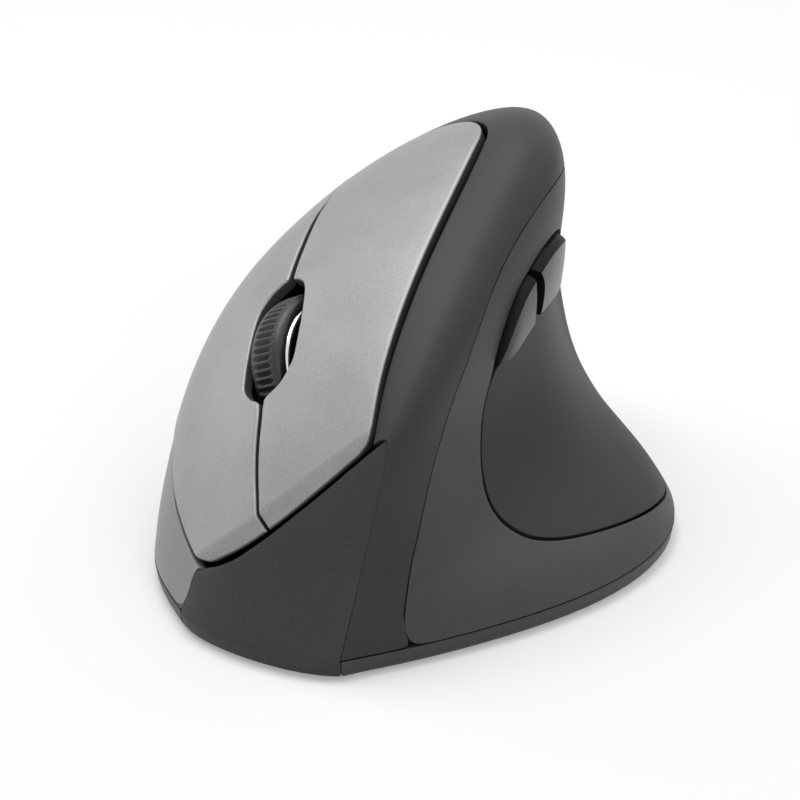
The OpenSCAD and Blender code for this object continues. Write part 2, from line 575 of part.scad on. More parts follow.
// Conical coil at the flat end of the cell
spring_wire = 0.6;
spring_turns = 2.5;
module contact_spring() {
    ends = press_gap + spring_wire / 2;
    steps = 24;
    sides = 6;
    n = spring_turns * steps;
    function ring(k) = let (t = k / n, a = 360 * k / steps, r = mix(5, 2.4, t),
        y = mix(ends, spring_room - ends, t))
        [for (q = [0:sides - 1]) let (b = 360 * q / sides, e = r + spring_wire / 2 * cos(b))
            [e * cos(a), y + spring_wire / 2 * sin(b), e * sin(a)]];
    points = [for (k = [0:n]) each ring(k)];
    faces = concat(
        [for (k = [0:n - 1]) for (q = [0:sides - 1]) let (m = (q + 1) % sides, a = k * sides, b = a + sides)
            each [[a + q, b + m, a + m], [a + q, b + q, b + m]]],
        [[for (q = [0:sides - 1]) q]], [[for (q = [sides - 1:-1:0]) n * sides + q]]);
    color("#c9b46a") translate([bay_at.x, bay_at.y - bay_half_y, cell_z]) polyhedron(points, faces);
}

// Underside: sensor window, power slider, receiver pocket and screws
// The sensor, the board and the rear post stand beside the battery cradle
cradle_edge = bay_at.x + bay_half_x + cradle_wall;
flange_edge = cradle_edge + flange_width;
lens_half = [4.8, 8];
sensor_at = [flange_edge + 0.85 + lens_half.x, placed([0, -13]).y];
sensor_window = 7;
power_at = placed([11.5, 10]);
power_slot = [3, 6];
receiver_at = placed([6.7, 26.6]);
receiver_size = [14.4, 18.6, 6.2];
pocket_wall = 1.2;
screw_d = 2;
screw_head_d = 4.2;
screw_head = 1.2;
post_d = 6;
post_finger = placed([-13.5, -25]);
post_thumb = placed([7.5, -29.5]);
post_rear = [flange_edge + 0.45 + post_d / 2, placed([0, -1]).y];
posts = [post_finger, post_thumb, post_rear];
standoffs = [placed([-1, -33.5]), placed([15.5, 13.5])];
standoff_d = 3;
module power_slot_cut() {
    block([power_at.x - power_slot.x / 2, power_at.y - power_slot.y / 2, base_low - cut],
        [power_at.x + power_slot.x / 2, power_at.y + power_slot.y / 2, seam_z]);
}
module receiver_box(extra, low, high) {
    half = [receiver_size.x / 2 + extra, receiver_size.y / 2 + extra];
    block([receiver_at.x - half.x, receiver_at.y - half.y, low],
        [receiver_at.x + half.x, receiver_at.y + half.y, high]);
}
module base_plate() {
    color("#2f3032") difference() {
        union() {
            base_slab();
            receiver_box(pocket_wall, base_top - cut, base_low + receiver_size.z + pocket_wall);
            for (p = standoffs) translate([p.x, p.y, base_top - cut])
                cylinder(d = standoff_d, h = board_rise + cut);
        }
        door_region(seam_z, slide_gap);
        translate([sensor_at.x, sensor_at.y, base_low - cut]) cylinder(d = sensor_window, h = seam_z + cut);
        power_slot_cut();
        receiver_box(0, base_low - cut, base_low + receiver_size.z);
        for (p = posts) translate([p.x, p.y, base_low - cut]) {
            cylinder(d = screw_d + 2 * slide_gap, h = seam_z + cut);
            cylinder(d = screw_head_d + 2 * slide_gap, h = screw_head + cut);
        }
    }
}
foot_length = 15;
module foot(p, turn) {
    color("#1d1e1f") translate([p.x, p.y, 0]) rotate(turn) {
        block([-foot_width / 2, -foot_length / 2, 0], [foot_width / 2, foot_length / 2, foot_thickness]);
        for (e = [-1, 1]) translate([0, e * foot_length / 2, 0])
            cylinder(d = foot_width, h = foot_thickness);
    }
}
module foot_front_finger() foot(placed([-22, -31]), 31);
module foot_front_thumb() foot(placed([16, -35]), -40);
module foot_rear_finger() foot(placed([-31.5, 8]), 0);
module foot_rear_thumb() foot(placed([31, 12]), 0);
module case_screws() {
    shank = 7;
    color("#77797c") for (p = posts) translate([p.x, p.y, base_low + 0.2]) {
        cylinder(d = screw_head_d, h = screw_head - 0.3);
        cylinder(d = screw_d, h = shank);
    }
}

board_z = base_top + board_rise;
board_min = [cradle_edge + 0.65, placed([0, -36]).y];
board_max = placed([18, 15.6]);
module main_board() {
    color("#1f5c3a") difference() {
        block([board_min.x, board_min.y, board_z], [board_max.x, board_max.y, board_z + board_thickness]);
        for (p = [post_thumb, post_rear]) translate([p.x, p.y, board_z - cut])
            cylinder(d = post_d + 2 * slide_gap, h = board_thickness + 2 * cut);
    }
}
sensor_size = [9, 12, 2];
module sensor() {
    color("#17181a") translate([sensor_at.x - sensor_size.x / 2, sensor_at.y - sensor_size.y / 2,
        board_z - sensor_size.z]) cube(sensor_size);
}
module sensor_lens() {
    lens_flange = 1.2;
    color("#9fb4bd") translate([sensor_at.x, sensor_at.y, 0]) {
        translate([0, 0, base_low + 0.4])
            cylinder(d = sensor_window - 2 * slide_gap, h = base_top - base_low);
        block([-lens_half.x, -lens_half.y, base_top], [lens_half.x, lens_half.y, base_top + lens_flange]);
    }
}
switch_low = board_z - 2.4;
module power_slider() {
    knob = [power_slot.x - 2 * slide_gap, power_slot.y - power_travel - 2 * slide_gap];
    color("#c8cacc") translate([power_at.x, power_at.y - power_travel / 2, 0]) {
        translate([-knob.x / 2, -knob.y / 2, base_low + 0.3])
            cube([knob.x, knob.y, switch_low - base_low - 0.3 - press_gap]);
        translate([-knob.x / 2 - 1, -knob.y / 2 - 1, base_top + slide_gap])
            cube([knob.x + 2, knob.y + 2, switch_low - press_gap - base_top - slide_gap]);
    }
}
module power_switch() {
    color("#b9bbbd") translate([power_at.x - 2.2, power_at.y - 4.5, switch_low])
        cube([4.4, 9, board_z - switch_low]);
}
module usb_receiver() {
    grip = 8;
    plug = [12, receiver_size.y - grip - 2 * slide_gap, 4.5];
    front = receiver_at.y - receiver_size.y / 2 + slide_gap;
    color("#2a2b2d") translate([receiver_at.x, front, base_low + 0.4]) {
        translate([-receiver_size.x / 2 + slide_gap, 0, 0])
            cube([receiver_size.x - 2 * slide_gap, grip, receiver_size.z - 1]);
        translate([-plug.x / 2, grip, 0.3]) cube(plug);
    }
}

// Frame of the wheel: x across it to the thumb side, y along the slot to the rear, z out of the buttons
wheel_spot = skin([4.53, 1.7]);
wheel_out = wheel_spot[1];
slot_line = at(4.62, 2.22) - at(4.32, 1.2);
wheel_along = unit(slot_line - (slot_line * wheel_out) * wheel_out);
wheel_across = cross(wheel_along, wheel_out);
module in_wheel_frame() {
    multmatrix([for (k = [0:2]) [wheel_across[k], wheel_along[k], wheel_out[k], wheel_spot[0][k]]])
        children();
}
wheel_depth = wheel_radius - wheel_proud;
module at_wheel() in_wheel_frame() translate([0, 0, -wheel_depth]) rotate([0, 90, 0]) children();

// Across the tyre: place as a share of half its width, drop below its radius, share of the ribs' depth
tyre_profile = [[-1, 1.5, 0], [-0.84, 0.6, 0], [-0.62, 0.2, 0], [-0.3, 0, 1], [0.3, 0, 1],
    [0.62, 0.2, 0], [0.84, 0.6, 0], [1, 1.5, 0]];
module wheel_tyre() {
    points_per_rib = 3;
    n = tyre_ribs * points_per_rib;
    m = len(tyre_profile) + 2;
    function groove(k) = rib_depth * (0.5 - 0.5 * cos(360 * k / points_per_rib));
    function around(k, r, z) = let (a = 360 * k / n) [r * cos(a), r * sin(a), z * tyre_width / 2];
    points = [for (k = [0:n - 1]) each concat(
        [around(k, rim_radius, -1)],
        [for (p = tyre_profile) around(k, wheel_radius - p[1] - p[2] * groove(k), p[0])],
        [around(k, rim_radius, 1)])];
    faces = [for (k = [0:n - 1]) for (q = [0:m - 1])
        let (a = k * m, b = (k + 1) % n * m, e = (q + 1) % m)
        each [[a + q, a + e, b + e], [a + q, b + e, b + q]]];
    color("#1b1c1d") at_wheel() polyhedron(points, faces);
}
ring_thickness = 0.4;
module wheel_hub() {
    color("#2a2b2c") at_wheel() difference() {
        cylinder(r = rim_radius, h = tyre_width, center = true);
        cylinder(d = axle_d, h = tyre_width + 2 * cut, center = true);
    }
}
module wheel_ring() {
    color("#d5d8da") difference() {
        cylinder(r = rim_radius + 0.6, h = ring_thickness);
        translate([0, 0, -cut]) cylinder(r = rim_radius - 1.6, h = ring_thickness + 2 * cut);
    }
}
module wheel_ring_thumb() at_wheel() translate([0, 0, tyre_width / 2]) wheel_ring();
module wheel_ring_finger() at_wheel() translate([0, 0, -tyre_width / 2 - ring_thickness]) wheel_ring();

cheek = tyre_width / 2 + ring_thickness + 0.7;
cheek_thickness = 1.6;
cradle_half = cheek + cheek_thickness;
encoder_width = 5;
axle_finger = cradle_half + 0.4;
axle_thumb = cradle_half + encoder_width - 1;
module wheel_axle() {
    color("#b7babd") at_wheel() translate([0, 0, -axle_finger])
        cylinder(d = axle_d, h = axle_finger + axle_thumb);
}

// Levels below the skin in the wheel frame
frame_low = -16.6;
frame_high = -15;
button_board_z = frame_high + slide_gap;
board_top = button_board_z + board_thickness;
tact_size = [6, 6, 3];
rail_low = board_top + tact_size.z + 1.1;
rail = [rail_low, rail_low + 2.2];
bar_y = [wheel_radius + 1.2, wheel_radius + 3.4];
arm_reach = 20;
wheel_switch_y = 17.6;
module wheel_cradle() {
    boss_half = 4;
    boss_low = -wheel_depth - 3.6;
    boss_high = -wheel_depth + 3.4;
    color("#35373a") in_wheel_frame() difference() {
        union() {
            for (e = [-1, 1]) {
                x = e > 0 ? cheek : -cradle_half;
                block([x, -bar_y[1], rail[0]], [x + cheek_thickness, bar_y[1], rail[1]]);
                block([x, -boss_half, boss_low], [x + cheek_thickness, boss_half, boss_high]);
            }
            block([-cradle_half, -bar_y[1], rail[0]], [cradle_half, -bar_y[0], rail[1]]);
            block([-cradle_half, bar_y[0], rail[0]], [cradle_half, bar_y[1], rail[1]]);
            block([-2, bar_y[0], rail[0]], [2, arm_reach, rail[1]]);
        }
        translate([0, 0, -wheel_depth]) rotate([0, 90, 0])
            cylinder(d = axle_d + 2 * running_gap, h = 2 * cradle_half + 2 * cut, center = true);
    }
}
module wheel_encoder() {
    color("#3f7f86") in_wheel_frame() difference() {
        block([cradle_half, -4.5, board_top + wheel_press + slide_gap],
            [cradle_half + encoder_width, 4.5, -wheel_depth + 3.4]);
        translate([0, 0, -wheel_depth]) rotate([0, 90, 0])
            cylinder(d = axle_d + 2 * running_gap, h = axle_thumb + 0.3);
    }
}

// Main switches on the tilted board, each with a plunger under its button
switch_size = [5.2, 10, 6.3];
plunger_d = 2.4;
plunger_rise = 0.8;
plunger_sink = 2;
primary_at = [12, -13];
secondary_at = [-11.6, -14.8];
switch_top = board_top + switch_size.z;
module micro_switch(p) {
    color("#202224") in_wheel_frame() difference() {
        block([p.x - switch_size.x / 2, p.y - switch_size.y / 2, board_top],
            [p.x + switch_size.x / 2, p.y + switch_size.y / 2, switch_top]);
        translate([p.x, p.y, switch_top - plunger_sink])
            cylinder(d = plunger_d + 2 * slide_gap, h = plunger_sink + cut);
    }
}
module micro_plunger(p) {
    color("#e4e2da") in_wheel_frame() translate([p.x, p.y, switch_top - plunger_sink + 1])
        cylinder(d = plunger_d, h = plunger_sink - 1 + plunger_rise);
}
module primary_switch() micro_switch(primary_at);
module secondary_switch() micro_switch(secondary_at);
module primary_plunger() micro_plunger(primary_at);
module secondary_plunger() micro_plunger(secondary_at);

// Pads under the buttons that reach down to the plungers
actuator_low = switch_top + plunger_rise + press_gap;
actuator_d = 4.4;
module actuator(p, high) {
    color("#5c5e61") in_wheel_frame() translate([p.x, p.y, actuator_low])
        cylinder(d = actuator_d, h = high - actuator_low);
}
module primary_actuator() actuator(primary_at, -3.6);
module secondary_actuator() actuator(secondary_at, -4.3);

tact_plunger_d = 3;
tact_sink = 1.2;
module wheel_switch() {
    low = board_top;
    color("#202224") in_wheel_frame() difference() {
        block([-tact_size.x / 2, wheel_switch_y - tact_size.y / 2, low],
            [tact_size.x / 2, wheel_switch_y + tact_size.y / 2, low + tact_size.z]);
        translate([0, wheel_switch_y, low + tact_size.z - tact_sink])
            cylinder(d = tact_plunger_d + 2 * slide_gap, h = tact_sink + cut);
    }
}
module wheel_plunger() {
    low = board_top + tact_size.z - tact_sink + wheel_press + press_gap;
    color("#e4e2da") in_wheel_frame() translate([0, wheel_switch_y, low])
        cylinder(d = tact_plunger_d, h = rail[0] - press_gap - low);
}

board_x = [-15, 17];
board_y = [-20.5, 22];
wheel_hole = [8.4, bar_y[1] + 0.6];
module button_board() {
    color("#1f5c3a") in_wheel_frame() difference() {
        block([board_x[0], board_y[0], button_board_z], [board_x[1], board_y[1], board_top]);
        block([-wheel_hole.x, -wheel_hole.y, button_board_z - cut],
            [wheel_hole.x, wheel_radius + 1, board_top + cut]);
    }
}
// Places of the switches behind the thumb buttons
forward_spot = skin([8.7, 2.76]);
back_spot = skin([8.74, 3.62]);
side_mid = (forward_spot[0] + back_spot[0]) / 2;
side_line = back_spot[0] - forward_spot[0];
side_turn = atan2(side_line.z, side_line.y);
side_board_x = side_mid.x - 9.2;

// Inner frame: a tilted plate under the board, guides for the wheel cradle, posts to the base
// and a block for the side board
frame_x = [-14, 17];
guide = [cradle_half + slide_gap, cradle_half + slide_gap + 1.5];
module frame_stands() {
    post_height = 60;
    difference() {
        union() {
            for (p = posts) translate([p.x, p.y, base_top]) cylinder(d = post_d, h = post_height);
            block([side_board_x - 7.4, side_mid.y - 5.5, side_mid.z - 2.3],
                [side_board_x - press_gap, side_mid.y + 3.5, side_mid.z + 4.7]);
        }
        in_wheel_frame() block([-60, -60, frame_high - 0.4], [60, 60, 60]);
    }
}
module inner_frame() {
    color("#3a3c3f") difference() {
        union() {
            in_wheel_frame() {
                difference() {
                    block([frame_x[0], board_y[0], frame_low], [frame_x[1], board_y[1], frame_high]);
                    block([-guide[0], -wheel_hole.y, frame_low - cut],
                        [guide[0], wheel_radius + 1, frame_high + cut]);
                }
                for (e = [-1, 1]) for (y = [-11.5, 9]) {
                    x = e > 0 ? guide[0] : -guide[1];
                    block([x, y, frame_low], [x + guide[1] - guide[0], y + 2.5, rail[1]]);
                }
            }
            frame_stands();
        }
        for (p = posts) translate([p.x, p.y, base_top - cut])
            cylinder(d = screw_d + 2 * running_gap, h = 8);
    }
}

// Hinge of the two main buttons: one pin under their rear edge, along the slope of the palm
hinge_depth = 8;
hinge_spot = skin([4.72, 4.1]);
hinge_line = unit([1, 0, 1]);
hinge_out = unit(hinge_spot[1] - (hinge_spot[1] * hinge_line) * hinge_line);
hinge_back = cross(hinge_out, hinge_line);
hinge_origin = hinge_spot[0] - hinge_depth * hinge_spot[1];
module in_hinge_frame() {
    multmatrix([for (k = [0:2]) [hinge_line[k], hinge_back[k], hinge_out[k], hinge_origin[k]]]) children();
}
hinge_pin_d = 2;
hinge_half = 15.2;
knuckle_d = 5;
lug_d = 4.6;
lug_length = 3;
module along_hinge(x, length, d) translate([x, 0, 0]) rotate([0, 90, 0]) cylinder(d = d, h = length);
module hinge_pin() color("#b7babd") in_hinge_frame() along_hinge(-hinge_half, 2 * hinge_half, hinge_pin_d);
module hinge_block(x, length, stem, top) {
    color("#4a4c4f") in_hinge_frame() difference() {
        union() {
            along_hinge(x, length, knuckle_d);
            block([stem[0], -2, 0], [stem[1], 2, top]);
        }
        along_hinge(x - cut, length + 2 * cut, hinge_pin_d + 2 * running_gap);
    }
}
module primary_hinge() hinge_block(2, 9.6, [3, 8], 4.4);
module secondary_hinge() hinge_block(-11.6, 9.6, [-10, -4], 6.4);
module hinge_bracket() {
    bar = [-6.2, -3.2];
    lugs = [-hinge_half, -lug_length / 2, hinge_half - lug_length];
    foot_at = hinge_origin + hinge_out * (bar[0] + bar[1]) / 2;
    roof = bay_half_x + cradle_wall + press_gap;
    color("#3a3c3f") {
        difference() {
            in_hinge_frame() {
                block([-hinge_half, -lug_d / 2, bar[0]], [hinge_half, lug_d / 2, bar[1]]);
                for (x = lugs) {
                    along_hinge(x, lug_length, lug_d);
                    block([x, -lug_d / 2, bar[0]], [x + lug_length, lug_d / 2, 0]);
                }
            }
            in_hinge_frame() along_hinge(-hinge_half - cut, 2 * (hinge_half + cut), hinge_pin_d);
        }
        difference() {
            translate([foot_at.x, foot_at.y, cell_z]) cylinder(d = lug_d, h = foot_at.z - cell_z);
            vault(roof, bay_half_y, base_top);
        }
    }
}

// Board and switches behind the thumb buttons
side_board_size = [board_thickness, 26, 9];
side_tact = [3.4, 6, 6];
side_low = side_board_x + board_thickness;
thumb_press = 0.6;
module side_board() {
    color("#1f5c3a") translate([side_board_x, side_mid.y, side_mid.z]) rotate([side_turn, 0, 0])
        translate([0, -side_board_size.y / 2, -side_board_size.z / 2]) cube(side_board_size);
}
module side_switch(spot) {
    color("#202224") translate([side_low, spot[0].y, spot[0].z]) rotate([side_turn, 0, 0]) difference() {
        translate([0, -side_tact.y / 2, -side_tact.z / 2]) cube(side_tact);
        translate([side_tact.x - tact_sink, 0, 0]) rotate([0, 90, 0])
            cylinder(d = tact_plunger_d + 2 * slide_gap, h = tact_sink + cut);
    }
}
module side_plunger(spot) {
    low = side_low + side_tact.x - tact_sink + thumb_press + press_gap;
    high = spot[0].x - thumb_button_depth - 3.5 * press_gap;
    color("#e4e2da") translate([low, spot[0].y, spot[0].z]) rotate([0, 90, 0])
        cylinder(d = tact_plunger_d, h = high - low);
}
bezel_wall = 0.8;
module thumb_bezel() {
    sink = thumb_button_depth + thumb_press + slide_gap;
    reach = 8;
    color("#1e1f20") difference() {
        shell(bezel_rows, 2, 6, -sink, -sink, sink + bezel_wall);
        for (spot = [forward_spot, back_spot]) translate([spot[0].x - reach, spot[0].y, spot[0].z])
            rotate([0, 90, 0]) cylinder(d = tact_plunger_d + 4 * slide_gap, h = reach);
    }
}
module forward_switch() side_switch(forward_spot);
module back_switch() side_switch(back_spot);
module forward_plunger() side_plunger(forward_spot);
module back_plunger() side_plunger(back_spot);

// Flat cable from the main board up past the frame's edge to the button board
ribbon_y = placed([0, -25]).y;
frame_edge = wheel_spot[0] + frame_x[1] * wheel_across + frame_low * wheel_out;
ribbon_run = (ribbon_y - frame_edge.y) / wheel_along.y;
ribbon_top = frame_edge + ribbon_run * wheel_along;
module ribbon_cable() {
    width = 8;
    thickness = 0.4;
    run = 6;
    low = board_z + board_thickness;
    high = ribbon_top.z + 3;
    x = ribbon_top.x + slide_gap;
    color("#d9d6cc") translate([0, ribbon_y + width, 0]) rotate([90, 0, 0]) linear_extrude(width)
        polygon([[x - run, low], [x + thickness, low], [x + thickness, high], [x, high],
            [x, low + thickness], [x - run, low + thickness]]);
}

module primary_button() {
    color("#a9abad") shell(primary_rows, 3, 9, panel_proud, panel_proud_low, panel_depth);
}
module secondary_button() {
    color("#a9abad") shell(secondary_rows, 3, 10, panel_proud, panel_proud_low, panel_depth);
}
module main_shell() color("#414244") shell(main_rows, 2, 12);
module finger_panel() color("#8f9193") shell(finger_rows, 3, 5);
module thumb_panel() color("#55565a") shell(thumb_rows, 2, 6, closed = true);
module thumb_rest() color("#3c3d3f") shell(rest_rows, 2, 12);
module forward_button() color("#4a4b4e") thumb_button(forward_rows, 3, 8, 0, 0);
module back_button() color("#4a4b4e") thumb_button(back_rows, 3, 8, 1, 0.15);

base_plate();
foot_front_finger();
foot_front_thumb();
foot_rear_finger();
foot_rear_thumb();
battery_door();
battery();
battery_cradle();
contact_plate();
contact_spring();
usb_receiver();
power_slider();
power_switch();
main_board();
sensor();
sensor_lens();
inner_frame();
button_board();
primary_switch();
primary_plunger();
secondary_switch();
secondary_plunger();
primary_actuator();
secondary_actuator();
primary_button();
secondary_button();
primary_hinge();
secondary_hinge();
hinge_pin();
hinge_bracket();
wheel_tyre();
wheel_hub();
wheel_ring_thumb();
wheel_ring_finger();
wheel_axle();
wheel_cradle();
wheel_encoder();
wheel_switch();
wheel_plunger();
front_cover();
main_shell();
finger_panel();
thumb_panel();
thumb_rest();
thumb_bezel();
forward_button();
back_button();
side_board();
forward_switch();
forward_plunger();
back_switch();
back_plunger();
case_screws();
ribbon_cable();
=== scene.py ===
import math

import bmesh
import bpy
import numpy as np
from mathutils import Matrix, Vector


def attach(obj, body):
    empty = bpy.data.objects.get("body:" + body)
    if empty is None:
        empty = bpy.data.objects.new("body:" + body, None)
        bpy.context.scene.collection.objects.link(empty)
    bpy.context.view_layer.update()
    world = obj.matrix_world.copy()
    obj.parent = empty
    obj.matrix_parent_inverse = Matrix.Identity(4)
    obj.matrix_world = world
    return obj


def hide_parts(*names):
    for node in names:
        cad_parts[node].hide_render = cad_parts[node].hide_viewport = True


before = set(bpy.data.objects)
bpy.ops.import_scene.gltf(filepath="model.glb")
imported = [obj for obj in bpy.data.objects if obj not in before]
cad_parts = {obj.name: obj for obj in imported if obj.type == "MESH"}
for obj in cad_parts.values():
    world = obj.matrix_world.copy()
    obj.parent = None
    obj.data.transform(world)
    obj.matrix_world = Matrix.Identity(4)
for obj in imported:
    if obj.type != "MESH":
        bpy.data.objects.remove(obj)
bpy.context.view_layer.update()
scene = bpy.context.scene
MM = 0.001

# Camera at the photograph's angle
azimuth = math.radians(25)
elevation = math.radians(25)
distance = 480 * MM
focal_pixels = 3060
frame_pixels = 800
target = Vector((-0.754, -6.493, 24)) * MM
camera_data = bpy.data.cameras.new("camera")
camera_data.sensor_width = 36
camera_data.lens = camera_data.sensor_width * focal_pixels / frame_pixels
camera_data.clip_start = 0.01
camera = bpy.data.objects.new("camera", camera_data)
back = Vector((math.sin(azimuth) * math.cos(elevation), -math.cos(azimuth) * math.cos(elevation),
               math.sin(elevation)))
camera.location = target + back * distance
camera.rotation_euler = back.to_track_quat("Z", "Y").to_euler()
scene.collection.objects.link(camera)
scene.camera = camera

# Sizes in mm, as in the part's source
wall = 1.8
# The finer drawn shells lie this far below the part's, so that its box holds them
sink = 0.04
seam_z = 3.4
seam_gap = 0.2
base_bevel = 0.7
base_rim = 0.5
foot_thickness = 0.5
panel_proud = 0.8
panel_proud_low = 0.2
panel_depth = 1.3
lip_drop = 1.2
thumb_button_rise = 1.7
thumb_button_depth = 1.8
wheel_radius = 12
wheel_proud = 1.7
tyre_width = 6.4
tyre_ribs = 60
rib_depth = 0.5
rim_radius = 9.4
ring_thickness = 0.4

# Control net of the body's skin: rows from the front edge to the heel, columns from the finger side's
# base edge over the ridge at column 6 to the thumb side's base edge
net_centre = np.array([0.754, 6.493, 0])
net = np.array([
    [[-16.9, -41.8, 3.4], [-16, -40.6, 6.5], [-16, -38.8, 10], [-9.5, -40.4, 14], [-2.5, -40.6, 19.5],
     [5.8, -37.6, 27.5], [12.2, -33.4, 34.6], [14, -33.6, 34.6], [14, -35.4, 31], [13.6, -37.5, 25],
     [13, -39.6, 19], [12.5, -41.8, 13], [12, -44, 7.5], [11.6, -45.6, 3.4]],
    [[-29.4, -30.2, 3.4], [-29, -29.4, 7], [-27.8, -27.6, 12], [-24, -27, 19], [-15.5, -27.5, 28],
     [-3, -27, 36.5], [10.6, -25.5, 42], [16.2, -26.5, 41], [17.6, -27.6, 36], [17.6, -29, 28],
     [17.8, -31, 20.5], [18.8, -32.8, 13.5], [20.8, -34.2, 8], [21.8, -34.8, 3.4]],
    [[-35.4, -13.5, 3.4], [-35.8, -13, 8], [-35.6, -12, 13], [-33, -12, 23], [-24.8, -12, 36],
     [-9.5, -11.5, 47], [10, -10.5, 52], [17.4, -11, 50.5], [19.4, -11.5, 44], [18.6, -12, 34],
     [18, -12.5, 23.5], [23, -14, 13], [30.6, -16, 9], [34.4, -17, 3.4]],
    [[-38.8, 3, 3.4], [-39.8, 3, 9], [-39.4, 3, 15], [-36.5, 3, 27], [-27.8, 3, 41],
     [-11.6, 3.5, 53.4], [10.5, 4, 60.5], [18.2, 4, 59], [20.8, 3.5, 51.5], [19.6, 3, 39.5],
     [18, 2.5, 26], [25.5, 1, 13], [37, -0.5, 10], [41, -1, 3.4]],
    [[-39, 17, 3.4], [-40.2, 17, 9], [-40, 17, 16], [-37.5, 17.5, 29], [-28, 18, 43.2],
     [-10.8, 18, 57.8], [10, 18, 69], [18.6, 18, 67.8], [21.8, 17.5, 59], [19.6, 17, 44],
     [17.6, 16.5, 28.5], [25.5, 15.5, 14.5], [37.6, 15, 10.5], [42, 15, 3.4]],
    [[-36.5, 32, 3.4], [-38, 32.3, 9], [-38, 32.6, 16], [-35, 33, 28], [-27, 33.5, 43],
     [-12.2, 34.5, 57.4], [4, 35, 64.6], [10.6, 34.5, 62.5], [13.6, 34, 54], [12.4, 33.5, 41],
     [12.4, 32.5, 27.5], [18.6, 31.5, 14.5], [30.2, 30.8, 9.8], [34.8, 30.8, 3.4]],
    [[-30, 45.5, 3.4], [-31.5, 46, 9], [-31.5, 46.6, 15], [-28.5, 47.5, 24.5], [-22, 49, 36],
     [-12, 50.5, 45], [-1.5, 51, 49], [3, 50.6, 48], [5, 50, 42], [5.4, 49, 33],
     [6.6, 47.6, 23], [11, 46, 13.6], [17.4, 44.8, 8], [20.4, 44.2, 3.4]],
    [[-22.5, 53, 3.4], [-22, 54.2, 7.4], [-20.5, 55, 11], [-17, 56.2, 16], [-12.5, 57.6, 20.5],
     [-7.5, 58.6, 23.5], [-3, 58.8, 24.5], [0.5, 58.6, 24], [3, 58, 21.5], [5, 57.2, 18.2],
     [7, 56, 14], [9.4, 54.6, 10.2], [12, 53.4, 6.8], [13.6, 52.8, 3.4]],
    [[-16, 57, 3.4], [-14, 58, 3.4], [-12, 58.8, 3.4], [-9.6, 59.4, 3.4], [-7.2, 59.9, 3.4],
     [-4.8, 60.2, 3.4], [-2.4, 60.3, 3.4], [0, 60.2, 3.4], [2, 59.9, 3.4], [3.8, 59.5, 3.4],
     [5.6, 58.9, 3.4], [7.4, 58.1, 3.4], [9, 57.2, 3.4], [10.4, 56.1, 3.4]]]) - net_centre
nose_points = np.array([[-12, -46.6, 3.4], [5, -49.2, 3.4]]) - net_centre
last_row = net.shape[0] - 1
last_column = net.shape[1] - 1


def padded(c):
    """Control points with one more at each end, in line with the last two."""
    return np.concatenate([2 * c[:1] - c[1:2], c, 2 * c[-1:] - c[-2:-1]])


sheet = padded(padded(net).swapaxes(0, 1)).swapaxes(0, 1)


def mix(a, b, t):
    return a + (b - a) * t


def unit(a):
    return a / np.linalg.norm(a, axis=-1, keepdims=True)


def spread(f):
    """Weights of the four nearest control points, at a share f of the span between the middle two."""
    weights = [(1 - f) ** 3, 3 * f ** 3 - 6 * f ** 2 + 4, 1 + 3 * f + 3 * f ** 2 - 3 * f ** 3, f ** 3]
    return np.stack(weights, -1) / 6


def spread_slope(f):
    """Slopes of those weights."""
    slopes = [-(1 - f) ** 2, 3 * f ** 2 - 4 * f, 1 + 2 * f - 3 * f ** 2, f ** 2]
    return np.stack(slopes, -1) / 2


def skin(u, v):
    """Points and outward normals of the skin, in mm, at net coordinates."""
    u = np.clip(np.asarray(u, float), 0, last_column)
    v = np.clip(np.asarray(v, float), 0, last_row)
    i = np.minimum(np.floor(u).astype(int), last_column - 1)
    j = np.minimum(np.floor(v).astype(int), last_row - 1)
    steps = np.arange(4)
    patch = sheet[(j[..., None] + steps)[..., :, None], (i[..., None] + steps)[..., None, :]]
    across, along = spread(u - i), spread(v - j)
    point = np.einsum("...a,...b,...abk->...k", along, across, patch)
    du = np.einsum("...a,...b,...abk->...k", along, spread_slope(u - i), patch)
    dv = np.einsum("...a,...b,...abk->...k", spread_slope(v - j), across, patch)
    return point, unit(np.cross(du, dv))


def at(u, v):
    return skin(u, v)[0]


def knot(rows, i, closed):
    """Row i, or one in line with the last two where the rows have ended."""
    n = len(rows)
    if closed:
        return rows[i % n]
    if i < 0:
        return 2 * rows[0] - rows[1]
    if i >= n:
        return 2 * rows[-1] - rows[-2]
    return rows[i]


def row_curve(rows, spots, closed=False):
    """Rows between the given ones: a smooth curve through both edges, and a straight drop."""
    spans = len(rows) if closed else len(rows) - 1
    made = []
    for spot in spots:
        i = min(int(spot), spans - 1)
        t = spot - i
        a, b, c, d = (knot(rows, k, closed) for k in (i - 1, i, i + 1, i + 2))
        p = (2 * b + (c - a) * t + (2 * a - 5 * b + 4 * c - d) * t ** 2
             + (3 * b - a - 3 * c + d) * t ** 3) / 2
        p[4] = mix(b[4], c[4], t)
        made.append(p)
    return np.array(made)


